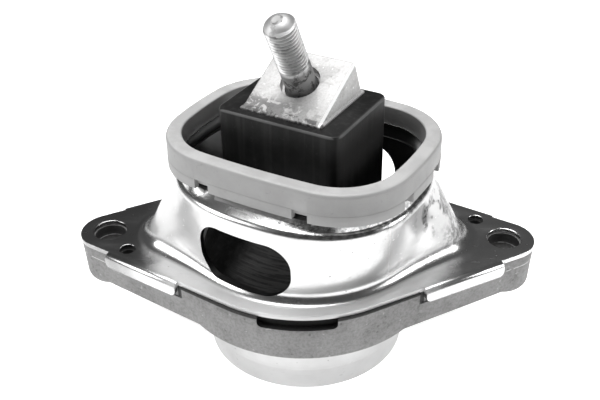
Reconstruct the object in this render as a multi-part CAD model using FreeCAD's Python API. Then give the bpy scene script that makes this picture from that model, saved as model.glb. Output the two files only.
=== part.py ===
import FreeCAD, Part
import os
from math import acos, atan2, cos, degrees, hypot, pi, radians, sin, sqrt, tan

# Hydraulic engine mount standing on its bottom cup. Millimetres, +Z up, ears along X.

# ---- driving dimensions -------------------------------------------------------------
BOLT_SPACING = 160.0        # between the two fixing bolts, ear to ear
BOLT_HOLE_R = 6.65          # clearance hole for an M12 bolt
EAR_R = 12.0                # flange ear radius about each bolt hole
FLANGE_R = 52.0             # round middle of the flange
SHEET = 2.0                 # housing sheet thickness
FLANGE_TOP_Z = 47.2
LOCATE_R = 3.1              # locating hole radius in the sheet
LOCATE_X = 70.0
LOCATE_Y = 13.1

TWIST = -26.65              # the ring and the core are turned about Z against the ears
RING_A = 44.0               # half length of the stop ring opening
RING_B = 33.1               # half width of the stop ring opening
RING_CORNER_R = 21.65
RING_BOW_A = 143.5          # bow radius of the two short sides
RING_BOW_B = 359.0          # bow radius of the two long sides
RING_TOP_Z = 95.3
RING_WIDTH = 6.1            # opening edge to outer wall
RING_WALL_H = 8.5           # top face down to the skirt line
SKIRT_H = 4.0
SKIRT_T = 2.3
SKIRT_PROUD = 0.1
RING_ROUND_OUT = 1.6
RING_ROUND_IN = 0.7
BAND_KEY = 0.6              # the band runs this far into the skirt
BAND_SHORTER = 1.6          # the band behind the skirt gaps ends this much higher
GAP_W = 6.0                 # gap between two skirt segments
GAP_X = 20.5                # gap centres on the long sides
GAP_Y = 12.0                # gap centres on the short sides

BLOCK_A = 25.45             # half length of the rubber block
BLOCK_B = 20.2              # half width of the rubber block
BLOCK_CORNER_R = 4.0
BLOCK_TOP_Z = 107.0
BLOCK_EDGE_R = 0.8
BLOCK_POWER = 7.0           # squareness of the block outline where it starts to flare
BLOCK_SPREAD = 1.2          # the block widens this much while it flares
WAIST_DEPTH = 34.0          # block top down to the start of the flare
FLARE_POWER = 2.4
FLARE_STEPS = 6
FLARE_FOOT = 3.0            # the flare ends this far above the rubber seal lip
RUBBER_GAP = 0.6            # rubber stays inside the bonded ring bore by this much

WALL_R = 42.8               # round part of the housing wall where it leaves the flange
LOBE_X = 50.9               # centre of each side lobe of the wall
LOBE_R = 14.2
LOBE_BLEND = 5.0            # softness of the hollow between wall and lobe
SHOULDER_A = 49.4           # half length of the housing shoulder
SHOULDER_B = 43.3           # half width of the housing shoulder
SHOULDER_POWER = 2.4
SHOULDER_Z = 79.0
CAP_H = 3.4                 # rise of the cap from the shoulder to the collar
CAP_LEDGE = 1.0             # level strip between the cap and the collar
COLLAR_TOP_Z = 87.8
COLLAR_IN = -0.5            # collar bore, measured outward from the ring opening
FOOT_FILLET = 4.5
SHOULDER_ROUND = 3.0        # rounding between the wall and the cap
SHOULDER_SWING = radians(66.0)
ROUND_STEPS = 4
ROOF_SHARE = 0.6            # of the sheet, from the cap down to the room under it
SLOT_L = 39.6               # slot window in each long side of the wall
SLOT_H = 22.0
SLOT_END_R = 9.5
SLOT_Z = 60.2

TAB_IN_X = 46.3             # crimp tabs lie between these two distances along X
TAB_OUT_X = 77.2
TAB_DROP = 5.9              # from the flange top to the tab's lower edge
TAB_BEND_IN = 0.4           # inner bend radius
TAB_CORNER_R = 2.5
TAB_OVERLAP = 1.0           # the tab starts this far inside the flange edge
TAB_ROOM_OUT = 1.0          # room in the casting round each tab: outer end
TAB_ROOM_IN = 1.2           # inner end
TAB_ROOM_LOW = 1.2          # below the tab
TAB_ROOM_REACH = 8.0

CAST_R = 53.2               # round casting rim
CAST_EAR_R = 11.8
SKIRT_IN = 0.4              # the lower skirt stands this far inside the rim
SKIRT_DRAFT = 0.3
SKIRT_DROP = 4.0            # rim top down to the skirt's upper end
SKIRT_ROUND = 1.2
SKIRT_BOTTOM_Z = 27.0
WEB_ROUND = 2.0
BOSS_DROP = 8.0             # rim top down to the ear boss's upper end
WEB_BOTTOM_Z = 29.2
EAR_BOTTOM_Z = 26.4
EAR_ROUND = 4.2
CAST_DRAFT = 0.8
CAST_WALL = 3.7             # rim to the bore that holds the clamped pieces
LEDGE_Z = 29.5              # inner ledge that carries the cup rim
NOTCH_W = 29.5              # pocket in the rim, front and back
NOTCH_D = 4.0
NOTCH_IN = 3.0
NOTCH_ROUND = 1.8
NOTCH_REACH = 5.0
CAST_HOLE_R = 6.3
CAST_LOCATE_R = 2.4
CAST_LOCATE_DEPTH = 8.0

CUP_LEDGE = 2.3             # the cup wall stands this far inside the casting bore
CUP_T = 1.5
CUP_TURN_Z = 15.9           # the wall turns in below this height
CUP_FLOOR_IN = 11.2         # cup wall in to the edge of the flat floor
CUP_CORNER_R = 4.0
CUP_CORNER_H = 1.3
CUP_CORNER_MID = 0.55       # of the corner radius, where its arc is fixed
CUP_CORNER_MID_H = 0.35
CUP_BOW_IN = 2.9            # middle of the inturned wall: inward of the cup wall
CUP_BOW_SHARE = 0.43        # of the turn height
CUP_BOW_STEP_R = 0.8        # how the inner face follows there, for each 1 mm of sheet
CUP_BOW_STEP_Z = 0.45

STUD_R = 5.9                # M12 thread crest
STUD_TILT = 27.1            # stud and wedge face lean towards local -Y
STUD_FREE = 33.0            # stud length above the wedge face
STUD_SUNK = 16.0
STUD_POINT = 3.2
STUD_FLAT_R = 2.0
STUD_BOW_IN = 0.9           # the rounded point passes this far inside the crest
STUD_BOW_SHARE = 0.45       # of the point's length
STUD_FOOT_OUT = 0.8
RECESS_R = 7.6
RECESS_DEPTH = 3.0
FACE_MID_Y = -1.65          # where the stud axis meets the wedge face, local Y
FACE_MID_Z = 115.6
WEDGE_A = 16.3              # half length of the wedge
WEDGE_FRONT_Y = -15.7
WEDGE_BACK_Y = 16.4
WEDGE_RIDGE_Y = 10.8
PLINTH_OUT = 0.7
PLINTH_H = 1.3
PLINTH_CHAMFER = 0.6
SIDE_CHAMFER = 0.9
RIDGE_ROUND = 1.0
HUB_TOP_SHRINK = 2.5        # hub in the rubber against the wedge plan
HUB_DEPTH = 42.0
HUB_TAPER = 4.0
HUB_CORNER_R = 3.0
HUB_KEY = 0.5               # the hub reaches this far up into the plinth

LIP_WIDE = 8.2              # clamped edge in to the bore of the bonded ring
LIP_IN = 2.2
LIP_EDGE_DROP = 0.8
LIP_BACK_DROP = 1.4
STACK_CLEAR_R = 0.3         # radial clearance of every clamped piece in the casting
PLATE_LOW_T = 2.5
PLATE_UP_T = 4.2
SEAL_T = 2.5
BEAD_T = 3.0
MEMBRANE_T = 1.8
DECOUPLER_R = 24.0
DECOUPLER_T = 2.4
DECOUPLER_PLAY = 0.3
DECOUPLER_ROUND = 0.6
CHANNEL_IN = 8.7            # clamped edge in to the middle of the damping channel
CHANNEL_W = 6.0
CHANNEL_DEPTH = 3.0
DAM_W = 4.0                 # wall between the two ends of the channel
DAM_SWING = radians(10.0)   # from the dam to each end port
PORT_R = 2.2
PORT_RING_R = 14.0
PORT_COUNT = 10
BEAD_EDGE = 0.4             # the bead stays this far inside the clamped edge
BEAD_IN = 2.0
DOME_H = 8.0                # middle of the diaphragm above the cup's turn
DOME_UPPER = ((6.0, 2.0), (11.0, 0.0), (17.0, 6.0))    # inward of the bead, above the turn
DOME_LOWER = ((17.5, 6.0), (11.0, -0.4), (4.3, 3.0))
FLARE_SINK = 1.5            # the flare runs this far into the seal lip
BLOCK_OVERLAP = 2.0
HOLLOW_IN = 6.0             # working chamber under the rubber: edge inside the lip
HOLLOW_LIP = 2.0
HOLLOW_STEP = 10.0
HOLLOW_MID_H = 9.0
HOLLOW_TOP_R = 9.0
HOLLOW_TOP_H = 14.0
CLEAR = 0.2                 # sliding clearance of the ring on the collar
TAB_CLEAR = 0.15
CUP_CLEAR = 0.35
OVER = 1.0                  # cutting shapes run past the surface by this
NEAR = 0.01                 # slack for picking edges and faces

# ---- derived dimensions -------------------------------------------------------------
FLANGE_LOW_Z = FLANGE_TOP_Z - SHEET
CAST_TOP_Z = FLANGE_LOW_Z
SKIRT_R = CAST_R - SKIRT_IN
CAST_BORE_R = CAST_R - CAST_WALL
STACK_R = CAST_BORE_R - STACK_CLEAR_R
CUP_R = CAST_BORE_R - CUP_LEDGE
CUP_FLOOR_R = CUP_R - CUP_FLOOR_IN
LIP_R = STACK_R - LIP_WIDE
CHANNEL_R = STACK_R - CHANNEL_IN
CUP_RIM_TOP_Z = LEDGE_Z + CUP_T
PLATE_LOW_Z = CUP_RIM_TOP_Z + BEAD_T
PLATE_MID_Z = PLATE_LOW_Z + PLATE_LOW_T
PLATE_TOP_Z = PLATE_MID_Z + PLATE_UP_T
SEAL_TOP_Z = PLATE_TOP_Z + SEAL_T
RING_LOW_Z = RING_TOP_Z - RING_WALL_H - SKIRT_H
CAP_TOP_Z = SHOULDER_Z + CAP_H
TAB_FACE_D = FLANGE_R + TAB_BEND_IN + SHEET
TILT = radians(STUD_TILT)


def edge_normal_angle(big_r, small_r, spacing):
    """Angle of the straight flange side's normal, from the X axis."""
    return acos((big_r - small_r) / (spacing / 2.0))


def turned(shape):
    """Turn a shape from the core's own axes into the mount's axes."""
    shape.rotate(FreeCAD.Vector(0, 0, 0), FreeCAD.Vector(0, 0, 1), TWIST)
    return shape


def at_angle(radius, angle, z=0.0):
    return FreeCAD.Vector(radius * cos(angle), radius * sin(angle), z)


def cylinder(radius, z_low, z_high, x=0.0, y=0.0):
    return Part.makeCylinder(radius, z_high - z_low, FreeCAD.Vector(x, y, z_low))


def box(x_low, x_high, y_low, y_high, z_low, z_high):
    corner = FreeCAD.Vector(x_low, y_low, z_low)
    return Part.makeBox(x_high - x_low, y_high - y_low, z_high - z_low, corner)


def hull_face(big_r, small_r, z):
    """Round middle and two ears joined by straight tangent sides."""
    half = BOLT_SPACING / 2.0
    phi = edge_normal_angle(big_r, small_r, BOLT_SPACING)
    ear = FreeCAD.Vector(half, 0, 0)
    top_r = at_angle(big_r, phi, z)
    top_l = at_angle(big_r, pi - phi, z)
    low_l = at_angle(big_r, pi + phi, z)
    low_r = at_angle(big_r, -phi, z)
    ear_r_top = at_angle(small_r, phi, z) + ear
    ear_r_low = at_angle(small_r, -phi, z) + ear
    ear_l_top = at_angle(small_r, pi - phi, z) - ear
    ear_l_low = at_angle(small_r, pi + phi, z) - ear
    edges = [
        Part.Arc(top_r, at_angle(big_r, pi / 2.0, z), top_l).toShape(),
        Part.makeLine(top_l, ear_l_top),
        Part.Arc(ear_l_top, at_angle(small_r, pi, z) - ear, ear_l_low).toShape(),
        Part.makeLine(ear_l_low, low_l),
        Part.Arc(low_l, at_angle(big_r, -pi / 2.0, z), low_r).toShape(),
        Part.makeLine(low_r, ear_r_low),
        Part.Arc(ear_r_low, at_angle(small_r, 0.0, z) + ear, ear_r_top).toShape(),
        Part.makeLine(ear_r_top, top_r),
    ]
    return Part.Face(Part.Wire(edges))


def ring_centres():
    """Arc centres of the ring opening in the first quadrant of its own axes."""
    side_a = FreeCAD.Vector(RING_A - RING_BOW_A, 0, 0)
    side_b = FreeCAD.Vector(0, RING_B - RING_BOW_B, 0)
    reach_a = RING_BOW_A - RING_CORNER_R
    reach_b = RING_BOW_B - RING_CORNER_R
    span = side_b - side_a
    length = span.Length
    along = (length * length + reach_a * reach_a - reach_b * reach_b) / (2.0 * length)
    across = sqrt(reach_a * reach_a - along * along)
    unit = span * (1.0 / length)
    normal = FreeCAD.Vector(-unit.y, unit.x, 0)
    if normal.x < 0:
        normal = normal * -1.0
    corner = side_a + unit * along + normal * across
    return side_a, side_b, corner


def ring_face(out, z):
    """The ring opening grown outward by out, as a face in the ring's own axes."""
    side_a, side_b, corner = ring_centres()
    angle_a = atan2(corner.y - side_a.y, corner.x - side_a.x)
    angle_b = atan2(corner.y - side_b.y, corner.x - side_b.x)
    lift = FreeCAD.Vector(0, 0, z)
    join_a = side_a + at_angle(RING_BOW_A + out, angle_a) + lift
    join_b = side_b + at_angle(RING_BOW_B + out, angle_b) + lift
    middle = corner + at_angle(RING_CORNER_R + out, (angle_a + angle_b) / 2.0) + lift
    tip_a = FreeCAD.Vector(RING_A + out, 0, z)
    tip_b = FreeCAD.Vector(0, RING_B + out, z)

    def flip(point, sx, sy):
        return FreeCAD.Vector(point.x * sx, point.y * sy, point.z)

    edges = [
        Part.Arc(flip(join_a, 1, -1), tip_a, join_a).toShape(),
        Part.Arc(join_a, middle, join_b).toShape(),
        Part.Arc(join_b, tip_b, flip(join_b, -1, 1)).toShape(),
        Part.Arc(flip(join_b, -1, 1), flip(middle, -1, 1), flip(join_a, -1, 1)).toShape(),
        Part.Arc(flip(join_a, -1, 1), flip(tip_a, -1, 1), flip(join_a, -1, -1)).toShape(),
        Part.Arc(flip(join_a, -1, -1), flip(middle, -1, -1), flip(join_b, -1, -1)).toShape(),
        Part.Arc(flip(join_b, -1, -1), flip(tip_b, 1, -1), flip(join_b, 1, -1)).toShape(),
        Part.Arc(flip(join_b, 1, -1), flip(middle, 1, -1), flip(join_a, 1, -1)).toShape(),
    ]
    return Part.Face(Part.Wire(edges))


def ring_prism(out, z_low, z_high):
    return ring_face(out, z_low).extrude(FreeCAD.Vector(0, 0, z_high - z_low))


def ring_band(out_low, out_high, z_low, z_high):
    return ring_prism(out_high, z_low, z_high).cut(ring_prism(out_low, z_low, z_high))


def lobe_radius(angle, lobe_r):
    """Distance to the outline of a side lobe with straight sides, along one angle."""
    phi = edge_normal_angle(FLANGE_R, EAR_R, BOLT_SPACING)
    folded = min(abs(atan2(sin(angle), abs(cos(angle)))), phi)
    side = LOBE_X * cos(phi) + lobe_r
    tangent = atan2(lobe_r * sin(phi), LOBE_X + lobe_r * cos(phi))
    if folded < tangent:
        drop = LOBE_X * sin(folded)
        return LOBE_X * cos(folded) + sqrt(lobe_r * lobe_r - drop * drop)
    return side / cos(folded - phi)


def foot_radius(angle, inset):
    """Wall outline at the flange: the round wall and the lobes, softly joined."""
    wall = WALL_R - inset
    lobe = lobe_radius(angle, LOBE_R - inset)
    gap = wall - lobe
    return (wall + lobe + sqrt(gap * gap + LOBE_BLEND * LOBE_BLEND)) / 2.0


def shoulder_radius(angle, inset):
    """Soft rounded rectangle turned with the stop ring."""
    local = angle - radians(TWIST)
    part_a = (abs(cos(local)) / (SHOULDER_A - inset)) ** SHOULDER_POWER
    part_b = (abs(sin(local)) / (SHOULDER_B - inset)) ** SHOULDER_POWER
    return (part_a + part_b) ** (-1.0 / SHOULDER_POWER)


def seat_radius(angle, out):
    """Distance along one angle to the ring opening grown outward by out."""
    local = angle - radians(TWIST)
    x_dir = abs(cos(local))
    y_dir = abs(sin(local))
    side_a, side_b, corner = ring_centres()
    best = None
    for centre, radius in ((side_a, RING_BOW_A), (side_b, RING_BOW_B), (corner, RING_CORNER_R)):
        grown = radius + out
        along = centre.x * x_dir + centre.y * y_dir
        rest = grown * grown - centre.Length ** 2 + along * along
        if rest < 0:
            continue
        reach = along + sqrt(rest)
        hit = FreeCAD.Vector(reach * x_dir, reach * y_dir, 0)
        angle_a = atan2(corner.y - side_a.y, corner.x - side_a.x)
        angle_b = atan2(corner.y - side_b.y, corner.x - side_b.x)
        on_a = atan2(hit.y - side_a.y, hit.x - side_a.x) <= angle_a
        on_b = atan2(hit.y - side_b.y, hit.x - side_b.x) >= angle_b
        if centre is side_a and on_a:
            best = reach
        if centre is side_b and on_b:
            best = reach
        if centre is corner and not on_a and not on_b and best is None:
            best = reach
    return best


def polar_wire(radius_at, z, count=60):
    """Closed smooth curve through points at equal angles."""
    curve = Part.BSplineCurve()
    points = [at_angle(radius_at(2.0 * pi * i / count), 2.0 * pi * i / count, z) for i in range(count)]
    curve.interpolate(Points=points, PeriodicFlag=True)
    return Part.Wire([curve.toShape()])


def polar_solid(sections):
    """Straight-sided solid through closed polar outlines."""
    wires = [polar_wire(radius_at, z) for radius_at, z in sections]
    return Part.makeLoft(wires, True, True)


def revolve(points):
    """Full turn about Z of a closed outline given as (radius, z)."""
    vectors = [FreeCAD.Vector(r, 0, z) for r, z in points]
    wire = Part.makePolygon(vectors + [vectors[0]])
    return Part.Face(wire).revolve(FreeCAD.Vector(0, 0, 0), FreeCAD.Vector(0, 0, 1), 360)


def pick_edges(shape, test):
    return [edge for edge in shape.Edges if test(edge)]


def at_height(edge, z, slack=0.02):
    bounds = edge.BoundBox
    return abs(bounds.ZMin - z) < slack and abs(bounds.ZMax - z) < slack


def stud_frame(shape):
    """Stand a shape built along +Z on the wedge face, along the stud axis."""
    shape.rotate(FreeCAD.Vector(0, 0, 0), FreeCAD.Vector(1, 0, 0), STUD_TILT)
    shape.translate(FreeCAD.Vector(0, FACE_MID_Y, FACE_MID_Z))
    return turned(shape)


def face_z(y):
    """Height of the wedge face at local Y."""
    return FACE_MID_Z + (y - FACE_MID_Y) * tan(TILT)


# ---- stud, core and rubber ----------------------------------------------------------
def make_stud():
    shoulder = STUD_FREE - STUD_POINT
    bend = FreeCAD.Vector(STUD_R - STUD_BOW_IN, 0, shoulder + STUD_POINT * STUD_BOW_SHARE)
    root_low = FreeCAD.Vector(0, 0, -STUD_SUNK)
    root_out = FreeCAD.Vector(STUD_R, 0, -STUD_SUNK)
    crest = FreeCAD.Vector(STUD_R, 0, shoulder)
    flat = FreeCAD.Vector(STUD_FLAT_R, 0, STUD_FREE)
    tip = FreeCAD.Vector(0, 0, STUD_FREE)
    edges = [
        Part.makeLine(root_low, root_out),
        Part.makeLine(root_out, crest),
        Part.Arc(crest, bend, flat).toShape(),
        Part.makeLine(flat, tip),
        Part.makeLine(tip, root_low),
    ]
    profile = Part.Face(Part.Wire(edges))
    shank = profile.revolve(FreeCAD.Vector(0, 0, 0), FreeCAD.Vector(0, 0, 1), 360)
    foot = Part.makeCone(STUD_R + STUD_FOOT_OUT, STUD_R, RECESS_DEPTH, FreeCAD.Vector(0, 0, -RECESS_DEPTH))
    return stud_frame(shank.fuse(foot).removeSplitter())


def make_core(stud):
    ridge = (WEDGE_RIDGE_Y, face_z(WEDGE_RIDGE_Y))
    outline = [
        (WEDGE_FRONT_Y, BLOCK_TOP_Z),
        (WEDGE_FRONT_Y, face_z(WEDGE_FRONT_Y)),
        ridge,
        (WEDGE_BACK_Y, BLOCK_TOP_Z + PLINTH_H),
        (WEDGE_BACK_Y, BLOCK_TOP_Z),
    ]
    vectors = [FreeCAD.Vector(-WEDGE_A, y, z) for y, z in outline]
    face = Part.Face(Part.makePolygon(vectors + [vectors[0]]))
    wedge = face.extrude(FreeCAD.Vector(2.0 * WEDGE_A, 0, 0))

    def on_side(edge):
        bounds = edge.BoundBox
        return bounds.XLength < NEAR and bounds.ZMax > ridge[1] - NEAR

    def on_ridge(edge):
        bounds = edge.BoundBox
        return bounds.XLength > WEDGE_A and bounds.ZMin > ridge[1] - 2.0 * SIDE_CHAMFER

    wedge = wedge.makeChamfer(SIDE_CHAMFER, pick_edges(wedge, on_side))
    wedge = wedge.makeFillet(RIDGE_ROUND, pick_edges(wedge, on_ridge))
    plinth = box(-WEDGE_A - PLINTH_OUT, WEDGE_A + PLINTH_OUT, WEDGE_FRONT_Y - PLINTH_OUT,
                 WEDGE_BACK_Y + PLINTH_OUT, BLOCK_TOP_Z, BLOCK_TOP_Z + PLINTH_H)
    plinth_top = pick_edges(plinth, lambda e: at_height(e, BLOCK_TOP_Z + PLINTH_H))
    plinth = plinth.makeChamfer(PLINTH_CHAMFER, plinth_top)
    hub_a = WEDGE_A - HUB_TOP_SHRINK
    hub_b = (WEDGE_BACK_Y - WEDGE_FRONT_Y) / 2.0 - HUB_TOP_SHRINK
    top = rounded_wire(hub_a, hub_b, HUB_CORNER_R, BLOCK_TOP_Z + HUB_KEY)
    low = rounded_wire(hub_a - HUB_TAPER, hub_b - HUB_TAPER, HUB_CORNER_R, BLOCK_TOP_Z - HUB_DEPTH)
    hub = Part.makeLoft([top, low], True, True)
    recess = Part.makeCylinder(RECESS_R, RECESS_DEPTH + STUD_FREE, FreeCAD.Vector(0, 0, -RECESS_DEPTH))
    core = turned(wedge.fuse(plinth).fuse(hub)).cut(stud_frame(recess)).cut(stud)
    return core.removeSplitter()


def rounded_wire(half_x, half_y, corner_r, z):
    """Rectangle with rounded corners, closed, at one height."""
    face = Part.Face(Part.makePolygon([
        FreeCAD.Vector(-half_x, -half_y, z),
        FreeCAD.Vector(half_x, -half_y, z),
        FreeCAD.Vector(half_x, half_y, z),
        FreeCAD.Vector(-half_x, half_y, z),
        FreeCAD.Vector(-half_x, -half_y, z),
    ]))
    solid = face.extrude(FreeCAD.Vector(0, 0, 1))
    uprights = pick_edges(solid, lambda e: e.BoundBox.ZLength > 1.0 - NEAR)
    solid = solid.makeFillet(corner_r, uprights)
    flat = [f for f in solid.Faces if f.BoundBox.ZMax < z + NEAR][0]
    return flat.OuterWire


def block_radius(angle, grow):
    """Polar outline of the rubber block, grown outward."""
    local = angle - radians(TWIST)
    part_a = (abs(cos(local)) / (BLOCK_A + grow)) ** BLOCK_POWER
    part_b = (abs(sin(local)) / (BLOCK_B + grow)) ** BLOCK_POWER
    return (part_a + part_b) ** (-1.0 / BLOCK_POWER)


def flare_radius(angle, share):
    """Outline part way from the block to the bore of the bonded ring."""
    block = block_radius(angle, BLOCK_SPREAD * share)
    return block + (LIP_R - RUBBER_GAP - block) * share ** FLARE_POWER


def make_rubber(core, stud, bonded_ring):
    waist_z = BLOCK_TOP_Z - WAIST_DEPTH
    low_z = SEAL_TOP_Z + FLARE_FOOT
    sections = []
    for i in range(FLARE_STEPS + 1):
        share = i / float(FLARE_STEPS)
        sections.append((lambda a, s=share: flare_radius(a, s), waist_z + (low_z - waist_z) * share))
    sections.append((lambda a: LIP_R - RUBBER_GAP, SEAL_TOP_Z - FLARE_SINK))
    flare = polar_solid(sections)
    block = rounded_block(BLOCK_TOP_Z, waist_z - BLOCK_OVERLAP)
    lip_in = LIP_R - HOLLOW_IN
    lip = cylinder(STACK_R, PLATE_TOP_Z, SEAL_TOP_Z)
    hollow = revolve([
        (0, PLATE_TOP_Z - OVER),
        (lip_in, PLATE_TOP_Z - OVER),
        (lip_in, SEAL_TOP_Z - HOLLOW_LIP),
        (lip_in - HOLLOW_STEP, SEAL_TOP_Z + HOLLOW_MID_H),
        (HOLLOW_TOP_R, SEAL_TOP_Z + HOLLOW_TOP_H),
        (0, SEAL_TOP_Z + HOLLOW_TOP_H),
    ])
    body = flare.fuse(turned(block)).fuse(lip).cut(hollow)
    return body.cut(bonded_ring).cut(core).cut(stud).removeSplitter()


def rounded_block(z_high, z_low):
    top = rounded_wire(BLOCK_A, BLOCK_B, BLOCK_CORNER_R, z_low)
    solid = Part.Face(top).extrude(FreeCAD.Vector(0, 0, z_high - z_low))
    return solid.makeFillet(BLOCK_EDGE_R, pick_edges(solid, lambda e: at_height(e, z_high)))


def make_bonded_ring():
    outline = [
        (STACK_R, CAST_TOP_Z),
        (LIP_R, CAST_TOP_Z),
        (LIP_R - LIP_IN, SEAL_TOP_Z - LIP_EDGE_DROP),
        (LIP_R - LIP_IN + SHEET, SEAL_TOP_Z - LIP_BACK_DROP),
        (LIP_R + SHEET, SEAL_TOP_Z),
        (STACK_R, SEAL_TOP_Z),
    ]
    return revolve(outline)


# ---- housing ------------------------------------------------------------------------
def make_tab():
    """One crimp tab on the +X +Y straight side, bent down over the casting."""
    phi = edge_normal_angle(FLANGE_R, EAR_R, BOLT_SPACING)
    outer_r = TAB_BEND_IN + SHEET
    low_z = FLANGE_TOP_Z - TAB_DROP
    start = FLANGE_R - TAB_OVERLAP
    turn = pi / 4.0
    mid_out = FreeCAD.Vector(FLANGE_R + outer_r * sin(turn), 0, FLANGE_TOP_Z - outer_r * (1.0 - cos(turn)))
    mid_in = FreeCAD.Vector(FLANGE_R + TAB_BEND_IN * sin(turn), 0,
                            FLANGE_LOW_Z - TAB_BEND_IN * (1.0 - cos(turn)))
    p_top = FreeCAD.Vector(start, 0, FLANGE_TOP_Z)
    p_bend = FreeCAD.Vector(FLANGE_R, 0, FLANGE_TOP_Z)
    p_face = FreeCAD.Vector(TAB_FACE_D, 0, FLANGE_TOP_Z - outer_r)
    p_low = FreeCAD.Vector(TAB_FACE_D, 0, low_z)
    p_low_in = FreeCAD.Vector(TAB_FACE_D - SHEET, 0, low_z)
    p_back = FreeCAD.Vector(TAB_FACE_D - SHEET, 0, FLANGE_LOW_Z - TAB_BEND_IN)
    p_under = FreeCAD.Vector(FLANGE_R, 0, FLANGE_LOW_Z)
    p_start = FreeCAD.Vector(start, 0, FLANGE_LOW_Z)
    wire = Part.Wire([
        Part.makeLine(p_top, p_bend),
        Part.Arc(p_bend, mid_out, p_face).toShape(),
        Part.makeLine(p_face, p_low),
        Part.makeLine(p_low, p_low_in),
        Part.makeLine(p_low_in, p_back),
        Part.Arc(p_back, mid_in, p_under).toShape(),
        Part.makeLine(p_under, p_start),
        Part.makeLine(p_start, p_top),
    ])
    side_low = tab_distance(TAB_OUT_X, phi)
    side_high = tab_distance(TAB_IN_X, phi)
    tab = Part.Face(wire).extrude(FreeCAD.Vector(0, side_high - side_low, 0))

    def lower_corner(edge):
        bounds = edge.BoundBox
        return at_height(edge, low_z) and bounds.XLength > SHEET - NEAR and bounds.YLength < NEAR

    tab = tab.makeFillet(TAB_CORNER_R, pick_edges(tab, lower_corner))
    tab.translate(FreeCAD.Vector(0, side_low, 0))
    tab.rotate(FreeCAD.Vector(0, 0, 0), FreeCAD.Vector(0, 0, 1), degrees(phi))
    return tab


def tab_distance(x, phi):
    """Signed run along a straight side, from the foot of its normal, at a given X."""
    return (FLANGE_R * cos(phi) - x) / sin(phi)


def four_ways(shape):
    """The shape and its mirror images across X and Y."""
    across_x = shape.mirror(FreeCAD.Vector(0, 0, 0), FreeCAD.Vector(1, 0, 0))
    pair = [shape, across_x]
    for item in (shape, across_x):
        pair.append(item.mirror(FreeCAD.Vector(0, 0, 0), FreeCAD.Vector(0, 1, 0)))
    return pair


def make_slots():
    """Cutting prism for the two slot windows, straight through both long sides."""
    half_l = SLOT_L / 2.0
    depth = SHOULDER_A * 3.0
    prism = Part.makeBox(SLOT_L, depth, SLOT_H, FreeCAD.Vector(-half_l, -depth / 2.0, SLOT_Z - SLOT_H / 2.0))
    prism = prism.makeFillet(SLOT_END_R, pick_edges(prism, lambda e: e.BoundBox.YLength > depth - NEAR))
    return turned(prism)


def make_housing():
    flange = hull_face(FLANGE_R, EAR_R, FLANGE_LOW_Z).extrude(FreeCAD.Vector(0, 0, SHEET))
    sections = [(lambda a: foot_radius(a, 0.0), FLANGE_LOW_Z + SHEET / 2.0)]
    for i in range(ROUND_STEPS + 1):
        swing = SHOULDER_SWING * i / ROUND_STEPS
        inset = SHOULDER_ROUND * (1.0 - cos(swing))
        rise = SHOULDER_ROUND * (sin(swing) - 1.0)
        sections.append((lambda a, d=inset: shoulder_radius(a, d), SHOULDER_Z + rise))
    sections.append((lambda a: seat_radius(a, COLLAR_IN + SHEET + CAP_LEDGE), CAP_TOP_Z))
    solid = flange.fuse(polar_solid(sections))
    foot = pick_edges(solid, lambda e: at_height(e, FLANGE_TOP_Z) and inside_flange(e))
    solid = solid.makeFillet(FOOT_FILLET, foot)
    solid = solid.fuse(turned(ring_prism(COLLAR_IN + SHEET, SHOULDER_Z - SHEET, COLLAR_TOP_Z)))
    room = polar_solid([
        (lambda a: foot_radius(a, SHEET), FLANGE_LOW_Z - OVER),
        (lambda a: shoulder_radius(a, SHEET), SHOULDER_Z - SHEET * ROOF_SHARE),
        (lambda a: seat_radius(a, COLLAR_IN + CAP_LEDGE), CAP_TOP_Z - SHEET * ROOF_SHARE),
    ])
    solid = solid.cut(room)
    solid = solid.cut(turned(ring_prism(COLLAR_IN, SHOULDER_Z, COLLAR_TOP_Z + OVER)))
    for tab in four_ways(make_tab()):
        solid = solid.fuse(tab)
    solid = solid.cut(make_slots())
    hole_low = FLANGE_LOW_Z - OVER
    hole_high = FLANGE_TOP_Z + OVER
    for side in (-1, 1):
        ear_x = side * BOLT_SPACING / 2.0
        solid = solid.cut(cylinder(BOLT_HOLE_R, hole_low, hole_high, ear_x))
        solid = solid.cut(cylinder(LOCATE_R, hole_low, hole_high, side * LOCATE_X, side * LOCATE_Y))
    return solid.removeSplitter()


def inside_flange(edge):
    """True for an edge of the wall foot, false for the flange's own outline."""
    bounds = edge.BoundBox
    return bounds.XLength < 2.0 * (LOBE_X + LOBE_R) + OVER and bounds.YLength > WALL_R


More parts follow.
